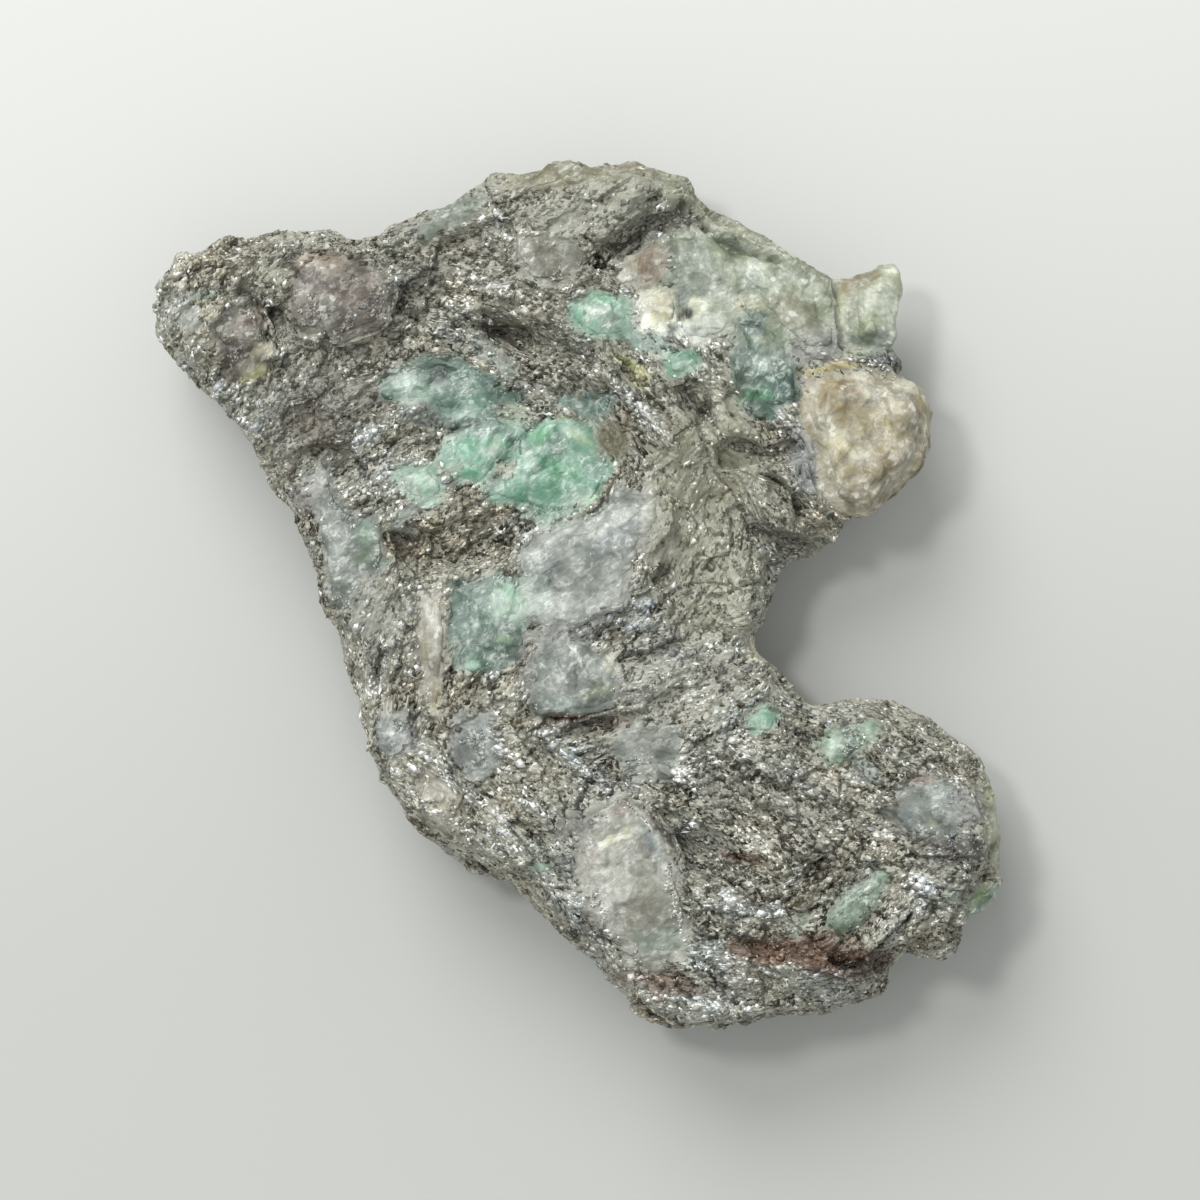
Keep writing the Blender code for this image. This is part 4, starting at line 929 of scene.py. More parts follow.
# %% Crevices and ridges, in millimetres
FOLDS = [
    (-9.6, 21.6, -4.6, 20.3, 0.7, -1.0), (-4.6, 20.3, -0.6, 19.2, 0.5, -0.6),
    (0.2, 25.6, 2.0, 26.8, 0.9, 0.7), (3.0, 27.8, 8.6, 30.6, 0.6, -0.9),
    (-2.0, 26.6, 3.4, 30.2, 0.8, 0.6), (-8.8, 24.6, -3.0, 26.4, 0.6, -0.6),
    (-12.6, 27.2, -6.6, 29.6, 0.5, -0.5), (-9.0, 31.6, 2.6, 32.4, 0.5, -0.4),
    (8.6, 29.8, 17.0, 24.8, 0.6, -1.0), (11.6, 10.9, 15.6, 8.8, 0.5, -1.2),
    (15.6, 8.8, 19.0, 4.6, 0.6, -1.3), (12.8, 12.8, 16.4, 11.2, 0.8, 0.8),
    (13.2, 6.6, 17.4, 2.2, 0.6, -1.0), (14.4, 8.0, 17.8, 5.0, 0.6, 0.8),
    (9.4, 17.2, 10.8, 12.8, 0.5, -0.8), (7.0, 16.4, 8.0, 5.6, 0.8, 0.5),
    (16.8, 13.0, 18.0, 6.0, 0.5, -0.8), (-0.8, -3.2, 4.2, -2.0, 0.45, -0.8),
    (-3.8, -9.9, 2.0, -10.5, 0.4, -0.8), (-15.0, 4.1, -12.4, 3.8, 0.7, -1.0),
    (-12.4, 3.8, -8.6, 2.2, 0.5, -0.5), (-13.6, 12.8, -8.0, 13.2, 0.35, -0.5),
    (-5.0, 16.3, 2.0, 15.0, 0.35, -0.4), (6.4, -18.4, 8.8, -21.4, 0.6, -0.8),
    (24.0, -17.9, 29.6, -19.6, 0.5, -0.9), (29.6, -19.6, 33.4, -20.6, 0.5, -1.0),
    (14.0, -28.2, 23.6, -30.2, 1.0, -1.0), (11.0, -20.8, 14.6, -21.8, 0.5, -0.8),
    (14.8, -15.6, 21.8, -17.4, 0.4, -0.5), (12.0, -15.0, 19.0, -19.0, 0.7, 0.4),
    (18.0, -21.6, 26.0, -21.2, 0.4, -0.5), (9.6, -25.8, 16.8, -24.8, 0.5, -0.5),
    (17.6, -8.6, 24.4, -7.6, 0.6, 0.4), (24.6, -9.2, 30.4, -14.4, 0.5, -0.5),
    (-28.6, 16.8, -25.6, 20.6, 0.6, -0.7), (-28.4, 24.8, -24.6, 22.2, 0.5, -0.9),
    (-24.0, 18.0, -21.0, 13.6, 0.6, -0.5), (-22.6, 25.6, -15.4, 21.4, 0.7, 0.5),
    (-24.4, 22.4, -21.2, 26.2, 0.5, -0.6), (-20.6, 10.8, -16.4, 12.4, 0.5, -0.5),
    (8.8, 32.0, 18.6, 25.4, 0.9, 0.5), (-4.6, -4.2, -4.4, -8.0, 0.5, -0.4),
    (-13.2, -8.4, -12.8, -13.6, 0.5, -0.5), (0.0, -26.2, 5.8, -31.0, 0.6, -0.7),
]


def fold_height(plan):
    """The height of all crevices and ridges together, at places in the plane."""
    wander = 0.7 * np.column_stack([layered_noise(plan, 2.2, 2, 50), layered_noise(plan, 2.2, 2, 52)])
    places = plan + wander
    total = np.zeros(len(plan))
    for x0, y0, x1, y1, width, height in FOLDS:
        start, run = np.array((x0, y0)), np.array((x1 - x0, y1 - y0))
        share = np.clip((places - start) @ run / (run @ run), 0.0, 1.0)
        away = np.linalg.norm(places - start - share[:, None] * run, axis=1)
        total += height * np.exp(-((away / width) ** 2))
    return total


# %% [markdown]
# Smaller breaks follow: ledges a few millimetres long that lie along the grain, plates about half that
# size, thin cracks, long bands with fine lines on them, wide swells and fine noise. All but the last two
# fade where the stone is smooth.

# %% Relief of the face
SWELL_HEIGHT = 0.35
BAND_HEIGHT = 0.22
LEDGE_SIZE = (3.4, 1.5)
LEDGE_SEED = 3
LEDGE_STEP = 0.40
PLATE_STEP = 0.15
LINE_HEIGHT = 0.11
CRACK_DEPTH = 0.58
FINE_HEIGHT = 0.05
SMOOTH_FADE = 0.85

skin_points = points_of(schist.data)
skin_normals = normals_of(schist.data)
_, skin_smooth, skin_depth = dress(skin_points)
plan = skin_points[:, :2]
ledges = plates(grain_places(plan, *LEDGE_SIZE), LEDGE_SEED, LEDGE_STEP, 0.50)
small = plates(grain_places(plan + 3.0, 1.9, 0.55), 21, PLATE_STEP, 0.24)
crack_line = np.abs(layered_noise(grain_places(plan, 5.5, 1.5), 1.0, 2, 33))
cracks = CRACK_DEPTH * (1.0 - smooth_step(0.0, 0.07, crack_line))
cracks = cracks * smooth_step(-0.1, 0.5, layered_noise(plan, 6.0, 1, 36))
lines = BAND_HEIGHT * bands(plan) + LINE_HEIGHT * smooth_noise(grain_places(plan, 7.0, 0.5), 62)
fine = FINE_HEIGHT * smooth_noise(skin_points / 0.5, 5)
face_relief = (ledges + small - cracks + lines) * (1.0 - SMOOTH_FADE * skin_smooth) + fine
face_relief += fold_height(plan) + SWELL_HEIGHT * layered_noise(plan, 5.0, 2, 37)
print("relief of the face in mm:", face_relief.min().round(1), "to", face_relief.max().round(1))

# %% [markdown]
# The walls of the slab show the layers edge on, so there the steps follow the height instead, and lean
# inwards so that the stone keeps its outline. The underside, which the stone lies on, stays nearly flat.
# Points inside a crystal hardly move, so that no schist comes through it.

# %% Break the skin up
LAYER = 0.75
LAYER_STEP = 0.24
LAYER_SLANT = 0.22
WALL_LEAN = 0.22
UNDER_HEIGHT = 0.12
FREE_HEIGHT = 0.2

layer_height = skin_points[:, 2] + 0.18 * plan[:, 0] + 1.2 * layered_noise(skin_points, 9.0, 2, 8)
layer = np.floor(layer_height / LAYER)
steps = LAYER_STEP * smooth_noise(np.column_stack([plan / 2.6, 3.1 * layer]), 12)
wall_relief = steps + LAYER_SLANT * (layer_height / LAYER - layer - 0.5) + fine - WALL_LEAN
under_relief = UNDER_HEIGHT * layered_noise(skin_points, 1.6, 2, 30) - UNDER_HEIGHT

facing = smooth_step(0.25, 0.8, skin_normals[:, 2])
under = smooth_step(0.6, 0.95, -skin_normals[:, 2])
relief = facing * face_relief + (1.0 - facing) * wall_relief
relief = (1.0 - under) * relief + under * under_relief
relief *= 1.0 - 0.9 * smooth_step(-0.7, 0.0, skin_depth)
skin_points += skin_normals * relief[:, None]
lows, highs = (np.array(corner) / MM for corner in solid_box)
move_points(schist.data, np.clip(skin_points, lows, highs + FREE_HEIGHT))
faces = 2 * len(schist.data.polygons)
work_in(schist, "DECIMATE", ratio=min(1.0, SKIN_FACES / faces))
print("skin triangles:", len(triangles_of(schist.data)))

# %% [markdown]
# ## Broken mineral
# Beryl and quartz here are cloudy rather than clear: milky veils inside, flat broken faces that each
# catch the light differently, hair cracks, and short pale dashes where mica has grown in. Each broken face
# has its own slant in the bump, and its own brightness painted into the colour, which is painted light.
# Quartz is also sugary, which means made of grains half a millimetre wide. Crystals and the smooth parts of
# the schist share this recipe, and lay it out in the same millimetres, so it runs on across an edge.

# %% The look of broken mineral
VEIL_COLOUR = (0.62, 0.66, 0.58)
CRACK_COLOUR = (0.66, 0.70, 0.62)
DASH_COLOUR = (0.80, 0.82, 0.77)
BUMP_DEPTH = 0.10


def mineral_look(place, colour, milky, sugar, turn):
    """Colour, roughness and bump height of broken mineral that has this main colour."""
    face, pick = place.warped(2.4, 1.6).stretched((2.3, 1.3, 1.4), turn).facets()
    grain_size = (0.44 + 0.10 * sugar, 0.18 + 0.30 * sugar, 0.4)
    chip, chance = place.warped(0.9, 0.5).stretched(grain_size, turn).facets()
    cloud = place.noise(2.2, 3.0, 0.6)
    fine = place.moved((7.0, 3.0, 1.0)).noise(0.55, 2.0, 0.65)
    lines = place.stretched((1.7, 0.13, 0.5), turn).noise(1.0, 2.0, 0.6)
    # The pick term paints each broken face lighter or darker: painted light on its facet.
    shade = 0.38 + 0.28 * pick + 0.50 * fine + (0.45 - 0.35 * sugar) * (lines - 0.5)
    shade = shade + 0.25 * sugar * (chance - 0.5)
    deep = times(product(colour, colour), shade * 1.8)
    colour = cloud.limit(0.36, 0.60).mix(deep, times(colour, shade * 1.08))
    veil = cloud * 0.5 + fine * 0.7
    colour = (veil.limit(0.60, 0.85) * milky).mix(colour, VEIL_COLOUR)
    vein = place.moved((1.0, 9.0, 4.0)).noise(1.9, 2.0, 0.5) - 0.5
    cracks = (1.0 - abs(vein).limit(0.0, 0.018)) * cloud.limit(0.40, 0.55)
    colour = (cracks * (0.35 - 0.30 * sugar)).mix(colour, CRACK_COLOUR)
    dashes = chance.limit(0.86, 0.91) * cloud.limit(0.35, 0.62)
    colour = (dashes * 0.36).mix(colour, DASH_COLOUR)
    rough = 0.24 + 0.14 * sugar + 0.20 * fine + 0.22 * chance
    large = face * (3.2 - 2.2 * sugar) + chip * (0.40 + 0.5 * sugar)
    height = large + fine * (0.2 + 0.3 * sugar) + lines * 0.2
    return colour, rough, height


# %% [markdown]
# The skin's material is the ground between the flakes. Long slanted cells that lie along the grain, each
# with its own grey, and fine lines beside them, look like the edges of mica sheets, and the stain's colour
# goes over them. Where the stone is smooth, broken mineral takes their place.

# %% The ground between the flakes
GROUND_STOPS = [
    (0.22, (0.070, 0.066, 0.052)),
    (0.48, (0.200, 0.196, 0.160)),
    (0.74, (0.345, 0.340, 0.280)),
    (1.00, (0.600, 0.600, 0.525)),
]
PLAIN_GROUND = (0.30, 0.295, 0.25)


def painted(place, name, output):
    """What was stored for each point of the mesh under this name."""
    return place.node("Attribute", {"attribute_name": name}, {}, output)


def schist_material():
    material, shader, place = new_material("mica_schist", IOR=1.55)
    stain, strength = painted(place, "stain", "Color"), painted(place, "stain", "Alpha")
    smooth = painted(place, "smoothness", "Fac")
    grain = painted(place, "grain", "Vector").warped(1.6, 0.5)
    slant, pick = grain.stretched((0.75, 0.24, 0.4)).facets()
    lines = grain.stretched((1.9, 0.15, 0.5)).noise(1.0, 2.0, 0.6)
    cloud = place.noise(2.6, 3.0)
    speck = pick * 0.45 + cloud * 0.5 + lines * 0.35
    ground = speck.node("ValToRGB", {"stops": GROUND_STOPS}, {"Fac": speck})
    rough_colour = strength.mix(ground, times(stain, speck * 1.3 + 0.2))
    main = strength.mix(PLAIN_GROUND, stain)
    smooth_colour, smooth_rough, smooth_height = mineral_look(place, main, 0.25, 0.3, 34.0)
    base = smooth.mix(rough_colour, smooth_colour)
    rough = (1.0 - smooth) * (0.28 + 0.4 * pick) + smooth * smooth_rough
    height = (1.0 - smooth) * (slant * 1.5 + lines * 0.9 + cloud * 0.8) + smooth * smooth_height
    feed(shader, Base_Color=base, Roughness=rough, Normal=bump(height, BUMP_DEPTH))
    return material


# %% [markdown]
# Every piece gets its stains the same way, and the solid that it replaces is hidden.
# What is known of its surface is kept, because the mica flakes are spread over it later. The skin also
# stores where each point lies along the grain.


# %% Paint the skin
def paint(piece, material, name, slot, stains, smoothness):
    """Gives a piece its stains and its material, hides the solid it replaces, and tells what its surface is
    like. Its slot is not used.
    """
    colour_attribute(piece.data, "stain", stains)
    store = piece.data.attributes.new("smoothness", "FLOAT", "POINT")
    store.data.foreach_set("value", smoothness.astype(np.float32))
    piece.data.materials.clear()
    piece.data.materials.append(material)
    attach(piece, "root")
    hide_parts(name)
    points, normals = points_of(piece.data), normals_of(piece.data)
    return {"point": points, "normal": normals, "stain": stains, "smooth": smoothness}


skin_points = points_of(schist.data)
skin_stains, skin_smooth, skin_depth = dress(skin_points)
streaks = np.column_stack([grain_places(skin_points[:, :2], 1.0, 1.0), skin_points[:, 2]])
grain_store = schist.data.attributes.new("grain", "FLOAT_VECTOR", "POINT")
grain_store.data.foreach_set("vector", streaks.astype(np.float32).ravel())
skin_surface = paint(schist, schist_material(), "schist_matrix", "schist", skin_stains, skin_smooth)

# %% [markdown]
# ## Crystals
# Each crystal keeps the place and size that the solid gives it. It is grown by part of the gap, so that it
# comes through the skin, and the roughness of both draws a ragged outline where they meet. Its top is
# broken into flat slanted faces, large ones and small ones, as beryl breaks. Eight crystals show only in
# patches on the real stone, so they lie a little deeper.

# %% Break up a crystal's faces
CRYSTAL_VOXEL = 0.21
GROW = 0.08
HALF_BURIED = [
    "beryl_rosy", "beryl_tip_patch", "beryl_small_patch", "beryl_blue_patch", "beryl_middle_patch",
    "beryl_lobe_patch", "emerald_lobe_streak", "emerald_lobe_splinter",
]
BURIED = 0.14


def crystal_piece(name, material, slot):
    """The visible crystal in place of its solid, and what its surface is like."""
    piece = new_object(name + "_grown", welded(nodes[name], GROW))
    work_in(piece, "REMESH", mode="VOXEL", voxel_size=CRYSTAL_VOXEL * MM)
    work_in(piece, "SMOOTH", factor=0.5, iterations=1)
    points = points_of(piece.data)
    normals = normals_of(piece.data)
    seed = sum(ord(letter) for letter in name)
    top = smooth_step(0.3, 0.8, normals[:, 2])
    chips = plates(points / 2.3, seed, 0.04, 0.28) + plates(points / 0.9, seed + 40, 0.03, 0.08)
    ragged = 0.16 * layered_noise(points, 0.9, 2, seed + 80)
    relief = top * (chips + 0.03 * smooth_noise(points / 0.4, seed)) + (1.0 - top) * ragged
    points += normals * relief[:, None]
    points[:, 2] -= (LOWERED.get(name, 0.0) + BURIED * (name in HALF_BURIED)) * top
    move_points(piece.data, np.clip(points, lows, highs))
    piece.data.shade_smooth()
    return piece, paint(piece, material, name, slot, *stain_at(points_of(piece.data)))


# %% [markdown]
# A crystal's material is broken mineral with the crystal's own colour under the stains. Its cloudy depth
# comes from the two layers of that recipe, pale veils over a deeper colour, which is far quicker to render
# than light that really goes in. A thin coat gives it the wet gloss of fresh beryl.


# %% The crystals' material
def crystal_material(name, body, milky, sugar, turn):
    material, shader, place = new_material(name, IOR=1.57, Coat_Roughness=0.12)
    main = painted(place, "stain", "Alpha").mix(body, painted(place, "stain", "Color"))
    colour, rough, height = mineral_look(place, main, milky, sugar, turn)
    coat = 0.3 * place.noise(2.6, 2.0)
    feed(shader, Base_Color=colour, Roughness=rough, Coat_Weight=coat, Normal=bump(height, BUMP_DEPTH))
    return material


# %% [markdown]
# Every row of the table above now becomes one material, and every crystal in it one piece. Each is also
# told how far mica reaches over its rim, because some of them are half buried in it.

# %% Make the crystals
MICA_REACH = 0.6
MICA_OVER = {
    "beryl_rosy": 2.4, "beryl_tip_patch": 1.8, "beryl_small_patch": 3.2, "beryl_blue_patch": 3.4,
    "beryl_middle_patch": 2.2, "beryl_lobe_patch": 1.6, "beryl_side_patch": 1.1, "emerald_teal_band": 1.1,
    "emerald_lobe_splinter": 1.2, "emerald_lobe_streak": 2.0, "quartz_lump": 2.6, "beryl_prism": 1.6,
}

crystal_surfaces = []
crystal_triangles = []
start = 0
for material_name, (slot, body, milky, sugar, turn, names) in MINERALS.items():
    material = crystal_material(material_name, body, milky, sugar, turn)
    for name in names:
        piece, surface = crystal_piece(name, material, slot)
        surface["body"] = np.tile(body, (len(surface["point"]), 1))
        surface["reach"] = np.full(len(surface["point"]), MICA_OVER.get(name, MICA_REACH))
        crystal_surfaces.append(surface)
        crystal_triangles.append(triangles_of(piece.data) + start)
        start += len(surface["point"])
print("crystals made:", len(crystal_surfaces), "triangles:", sum(len(part) for part in crystal_triangles))

# %% [markdown]
# ## Mica flakes
# What makes schist look like schist is thousands of thin flakes, each a little mirror at its own tilt.
# Painting them would look flat from the side, so each one is real: a four-cornered plate with a point
# that is buried in the rock. That is six triangles, so 27,000 of them are still a light mesh.
# Bump alone couldn't catch the light on one flake and leave its neighbour dark.

# %% Where flakes go, and how they lie
FLAKE_SPREAD = 0.42
FLAKE_WIDTH = (0.38, 0.78)
FLAKE_TURN = 21.0
FLAKE_ROOT = 0.26
FLAKE_SINK = 0.01
FLAKE_LIFT = 0.06
FLAKE_CORNERS = ((-1.0, -0.55), (0.35, -1.0), (1.0, 0.5), (-0.4, 1.0))
FLAKE_FACES = np.array(((0, 1, 2), (0, 2, 3), (1, 0, 4), (2, 1, 4), (3, 2, 4), (0, 3, 4)))
POINTS_A_FLAKE = len(FLAKE_CORNERS) + 1


def unit(vectors):
    return vectors / np.maximum(np.linalg.norm(vectors, axis=1), 1e-9)[:, None]


def scatter(surface, triangles, weight, count, draw):
    """Spreads places evenly over faces, by weight, with everything the surface knows at each place."""
    a, b, c = (surface["point"][triangles[:, corner]] for corner in range(3))
    area = np.linalg.norm(np.cross(b - a, c - a), axis=1) * weight[triangles].mean(axis=1)
    corners = triangles[draw.choice(len(triangles), size=count, p=area / area.sum())]
    shares = draw.dirichlet((1.0, 1.0, 1.0), size=count)
    found = {}
    for key, values in surface.items():
        found[key] = np.einsum("nk,nk...->n...", shares, values[corners])
    found["normal"] = unit(found["normal"])
    return found


def turned(vectors, axes, angles):
    """Each vector turned about its own axis."""
    cosines, sines = np.cos(angles)[:, None], np.sin(angles)[:, None]
    return vectors * cosines + np.cross(axes, vectors) * sines


def flake_shapes(spots, size, tilts, draw):
    """Corners and triangles of one plate for each spot: four corners, and a point that is its root."""
    places, facings = spots["point"], spots["normal"]
    count = len(places)
    angle = grain_angle(places[:, :2]) + draw.normal(0.0, math.radians(FLAKE_TURN), count)
    streak = np.column_stack([np.cos(angle), np.sin(angle), np.zeros(count)])
    along = unit(streak - facings * np.sum(streak * facings, axis=1)[:, None])
    across = np.cross(facings, along)
    roll = draw.normal(0.0, math.radians(tilts[0]), count)
    pitch = draw.normal(0.0, math.radians(tilts[1]), count)
    across = turned(across, along, roll)
    along = turned(along, across, pitch)
    long = 0.5 * size * np.exp(np.clip(draw.normal(0.0, FLAKE_SPREAD, count), -0.8, 0.5))
    wide = long * draw.uniform(*FLAKE_WIDTH, count)
    middle = places + facings * draw.uniform(-FLAKE_SINK, FLAKE_LIFT * size, count)[:, None]
    corners = []
    for u, v in FLAKE_CORNERS:
        shift = draw.uniform(-0.3, 0.3, (2, count))
        step = along * (long * (u + shift[0]))[:, None] + across * (wide * (v + shift[1]))[:, None]
        corners.append(middle + step)
    corners.append(places - facings * FLAKE_ROOT)
    points = np.stack(corners, axis=1).reshape(-1, 3)
    points[:, 2] = np.maximum(points[:, 2], lows[2] + 0.02)
    triangles = (POINTS_A_FLAKE * np.arange(count)[:, None, None] + FLAKE_FACES[None]).reshape(-1, 3)
    return points, triangles


def flake_piece(name, shapes, tones, material):
    """One layer of flakes as one mesh, each flake in its own tone."""
    flakes = new_object(name, mesh_from(name, *shapes))
    colour_attribute(flakes.data, "tone", np.repeat(tones, POINTS_A_FLAKE, axis=0))
    flakes.data.materials.append(material)
    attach(flakes, "root")
    print(name, "triangles:", len(shapes[1]))


# %% [markdown]
# A flake takes one of five tones: most are grey or olive, some nearly black, and a few so pale that they
# read as sparks, which is partly pale mica and partly painted glint. The tones gather in streaks and in
# patches, some warm and some cool. Where the stone is stained, the flake takes on that colour too. In some
# places whole clusters of flakes are given the palest tone, as painted glints, and wide parts of the upper
# face are dull, because there the mica is seen on its edges.

# %% Tones of the flakes
# The last tone, near white, is partly pale mica and partly painted glint.
FLAKE_TONES = np.array([
    (0.066, 0.063, 0.050),
    (0.180, 0.176, 0.142),
    (0.305, 0.299, 0.242),
    (0.475, 0.475, 0.412),
    (0.880, 0.890, 0.840),
])
FLAKE_SHARES = (0.12, 0.27, 0.32, 0.22, 0.07)
BRIGHT = len(FLAKE_TONES) - 1
# Painted glints: in each circle most flakes take the palest tone, where clusters of mica glint.
PAINTED_GLINT_SPOTS = [
    (7.9, -14.3, 1.1), (13.2, -12.3, 1.3), (14.0, -19.2, 1.7), (-9.6, 23.0, 0.9), (-15.0, 25.5, 0.7),
    (-10.0, 4.6, 1.0), (-6.2, 5.2, 1.1), (-18.8, 17.4, 0.9), (-17.2, 11.4, 0.8), (-4.2, 28.4, 0.8),
    (10.0, 8.4, 1.2), (27.0, -23.6, 1.3), (24.4, -20.0, 1.0), (31.1, -21.6, 0.5), (16.9, -23.4, 0.8),
    (9.4, -8.2, 1.2), (-16.4, -7.6, 0.9), (5.4, 2.4, 0.9), (12.0, -24.2, 0.7), (-2.4, 28.4, 0.6),
    (0.6, 29.0, 0.5), (-21.2, 20.6, 0.8),
]
PAINTED_GLINT_SHARE = 0.65
DULL_TONE = np.array((0.250, 0.247, 0.200))
DULL_SHARE = 0.45
STAIN_SHARE = 0.9
TONE_RANGE = (0.01, 0.95)
DULL_PLACES = [
    (-21.0, 15.0, 7.0), (-25.0, 25.0, 6.0), (-12.0, 26.0, 4.0), (-1.0, 31.0, 8.0), (10.0, 4.0, 8.0),
    (9.0, 13.0, 5.0), (1.0, 20.0, 5.0), (27.0, -8.0, 5.0), (-15.0, 0.0, 4.0), (-14.0, -13.0, 3.0),
]


def dullness(plan):
    """How dull the mica is: 1 in the middle of a dull place, 0 outside all of them."""
    dull = np.zeros(len(plan))
    for x, y, radius in DULL_PLACES:
        distance = np.hypot(plan[:, 0] - x, plan[:, 1] - y) / radius + 0.3 * layered_noise(plan, 3.0, 2, 150)
        dull = np.maximum(dull, 1.0 - smooth_step(0.6, 1.1, distance))
    return dull


def flake_tones(spots, draw):
    """The colour of each flake, with a chance number for its gloss as alpha."""
    places = spots["point"]
    count = len(places)
    band = bands(places[:, :2])
    streak = layered_noise(grain_places(places[:, :2], 3.2, 0.6), 1.0, 2, 90)
    patch = layered_noise(places, 4.5, 3, 94)
    ledge = plates(grain_places(places[:, :2], *LEDGE_SIZE), LEDGE_SEED, 1.0, 0.0)
    level = 0.5 * streak + 0.5 * band + 0.3 * patch + 0.3 * ledge + draw.normal(0.0, 0.15, count)
    kind = draw.choice(len(FLAKE_TONES), size=count, p=FLAKE_SHARES)
    kind = np.clip(kind + (level > 0.45) - (level < -0.45), 0, BRIGHT)
    for x, y, radius in PAINTED_GLINT_SPOTS:
        near = np.hypot(places[:, 0] - x, places[:, 1] - y) < radius
        kind[near & (draw.random(count) < PAINTED_GLINT_SHARE)] = BRIGHT
    warmth = (0.10 * layered_noise(places, 5.0, 2, 97) - 0.10 * band)[:, None] * (1.0, 0.2, -1.0)
    light = np.exp(draw.normal(0.0, 0.15, count) + 0.15 * patch + 0.15 * ledge + 0.32 * band)[:, None]
    light = np.where((kind == BRIGHT)[:, None], np.maximum(light, 0.9), light)
    tones = FLAKE_TONES[kind] * light * np.exp(warmth)
    dull = (dullness(places[:, :2]) * (kind < BRIGHT))[:, None]
    tones += DULL_SHARE * dull * (DULL_TONE * light - tones)
    shade = tones.mean(axis=1, keepdims=True)
    stained = spots["stain"][:, :3] * (0.45 + 1.8 * shade)
    colours = tones + (stained - tones) * (STAIN_SHARE * spots["stain"][:, 3:4])
    chance = draw.random(count) * (1.0 - 0.5 * dull[:, 0]) + 0.25 * dull[:, 0]
    return np.column_stack([np.clip(colours, *TONE_RANGE), chance])


# %% [markdown]
# The flakes' material is glossy, with a little metal in it, as mica has. Each flake's own roughness comes
# with its tone, so some shine sharply and others softly.


# %% Mica material
def mica_material():
    material, shader, place = new_material("mica_flake", IOR=1.6)
    tone, chance = painted(place, "tone", "Color"), painted(place, "tone", "Alpha")
    base = times(tone, place.noise(0.25, 1.0) * 0.6 + 0.70)
    shine = 0.30 * chance.limit(0.5, 1.0)
    feed(shader, Base_Color=base, Roughness=0.22 + 0.3 * chance, Metallic=shine)
    return material


# %% [markdown]
# Two layers of flakes cover the face, large ones and small ones, and a third covers the walls and the
# back. Smooth stone gets few. On the walls they lie flatter, so that they don't blur the outline. A
# last layer lies on the rims of the crystals, where mica has grown over them, and more than half of it
# takes the crystal's own colour.

# %% Cover the schist with flakes
LARGE_FLAKES = 15_000
SMALL_FLAKES = 27_000
RIM_FLAKES = 5_000
WALL_FLAKES = 23_000
CLEAR_OF_CRYSTAL = -0.25
OWN_TONES = (0.85, 1.2, 1.8)
OWN_TONE_SHARES = (0.3, 0.4, 0.3)
OWN_SHARE = 0.6

mica = mica_material()
skin_triangles = triangles_of(schist.data)
steepness = skin_surface["normal"][:, 2]
up = smooth_step(0.1, 0.45, steepness)
level_face = smooth_step(0.45, 0.8, steepness)
open_schist = (skin_depth < CLEAR_OF_CRYSTAL) * (1.0 - skin_smooth) ** 2.2
patches = 0.35 + 0.65 * smooth_step(-0.5, 0.5, bands(skin_points[:, :2] + 20.0))
crystal_surface = {}
for key in crystal_surfaces[0]:
    crystal_surface[key] = np.concatenate([part[key] for part in crystal_surfaces])
rim = 1.0 - smooth_step(0.3, 1.0, slab_distance(crystal_surface["point"]) / crystal_surface["reach"])
ragged_rim = rim * smooth_step(-0.3, 0.6, layered_noise(crystal_surface["point"], 1.3, 2, 130))
on_top = smooth_step(0.3, 0.7, crystal_surface["normal"][:, 2]) * (1.0 - crystal_surface["smooth"]) ** 1.6

schist_faces = (skin_surface, skin_triangles)
crystal_faces = (crystal_surface, np.concatenate(crystal_triangles))
LAYERS = {
    "mica_flakes_large": (*schist_faces, level_face * open_schist * patches, LARGE_FLAKES, 0.56, (10.0, 6.0)),
    "mica_flakes_small": (*schist_faces, up * open_schist, SMALL_FLAKES, 0.35, (14.0, 9.0)),
    "mica_flakes_walls": (*schist_faces, (1.0 - up) * open_schist, WALL_FLAKES, 0.36, (4.0, 3.0)),
    "mica_flakes_rims": (*crystal_faces, on_top * ragged_rim, RIM_FLAKES, 0.32, (7.0, 5.0)),
}
for seed, (name, (surface, triangles, weight, count, size, tilts)) in enumerate(LAYERS.items(), 1):
    draw = np.random.default_rng(seed)
    spots = scatter(surface, triangles, weight, count, draw)
    shapes = flake_shapes(spots, size, tilts, draw)
    tones = flake_tones(spots, draw)
    if "body" in spots:
        own = spots["body"] * draw.choice(OWN_TONES, size=(count, 1), p=OWN_TONE_SHARES)
        own_coloured = draw.random((count, 1)) < OWN_SHARE
        tones[:, :3] = np.where(own_coloured, np.clip(own, 0.05, 0.85), np.maximum(tones[:, :3], 0.20))
    flake_piece(name, shapes, tones, mica)

# %% [markdown]
# ## Light and floor
# The stone was photographed in soft daylight against pale grey. A large soft light from the top left
# does most of the work, the pale surroundings fill the shadows, and a smaller, brighter one makes the
# mica glint.

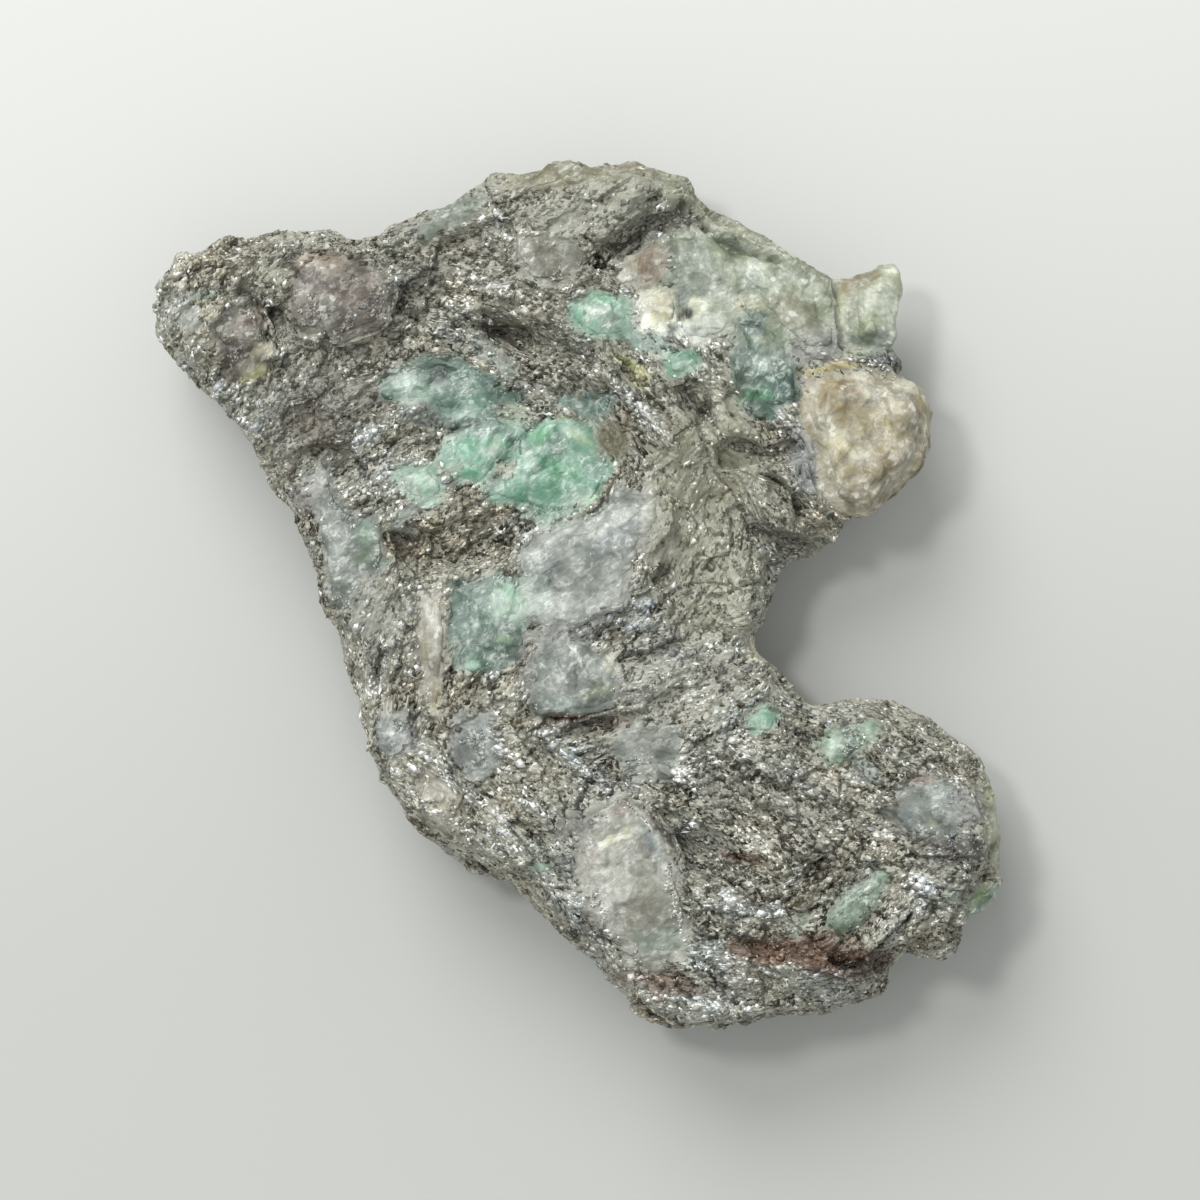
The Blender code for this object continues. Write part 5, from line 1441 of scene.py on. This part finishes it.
# %% Pale floor, soft lights
FLOOR_SIZE = 4.0
FLOOR_GAP = 0.0001
FLOOR_SLOPE = (0.10, -0.99, 0.0)
FLOOR_FADE = (-62.0, 32.0)
# Painted shade: the floor goes from lit pale grey to a darker grey towards the foot of the picture.
FLOOR_PAINTED_LIT = (0.605, 0.61, 0.595)
FLOOR_PAINTED_SHADED = (0.455, 0.463, 0.445)


def floor_material():
    """Pale grey with painted shade that makes it a little darker towards the foot of the picture."""
    material, shader, place = new_material("pale_floor", Specular_IOR_Level=0.2)
    cloud = place.noise(180.0, 2.0)
    across = place.node("VectorMath", {"operation": "DOT_PRODUCT"}, {0: place, 1: FLOOR_SLOPE}, "Value")
    # the fade is painted shade, darker towards the foot of the picture
    fade = across.limit(*FLOOR_FADE) * 0.9 + cloud * 0.1
    colour = fade.mix(FLOOR_PAINTED_LIT, FLOOR_PAINTED_SHADED)
    feed(shader, Base_Color=colour, Roughness=0.8 + 0.1 * cloud)
    return material


bpy.ops.mesh.primitive_grid_add(x_subdivisions=8, y_subdivisions=8, size=FLOOR_SIZE)
floor = bpy.context.object
floor.name = "floor"
floor.location.z = -FLOOR_GAP
floor.data.materials.append(floor_material())


def soft_light(name, place, size, power, colour=(1.0, 1.0, 1.0)):
    """A round lamp that points at the stone."""
    lamp = bpy.data.lights.new(name, "AREA")
    lamp.shape = "DISK"
    lamp.size = size
    lamp.energy = power
    lamp.color = colour
    light = new_object(name, lamp)
    light.location = place
    light.rotation_euler = (-light.location).to_track_quat("-Z", "Y").to_euler()


soft_light("daylight", (-0.35, 0.75, 0.75), 0.7, 9.0)
soft_light("glint", (-0.30, 0.22, 0.80), 0.14, 2.2, (1.0, 0.99, 0.96))
world = bpy.data.worlds.new("pale_room")
bpy.context.scene.world = world
world.use_nodes = True
world.node_tree.nodes["Background"].inputs["Color"].default_value = (0.93, 0.95, 0.94, 1.0)
world.node_tree.nodes["Background"].inputs["Strength"].default_value = 0.75
bpy.context.scene.view_settings.view_transform = "Standard"
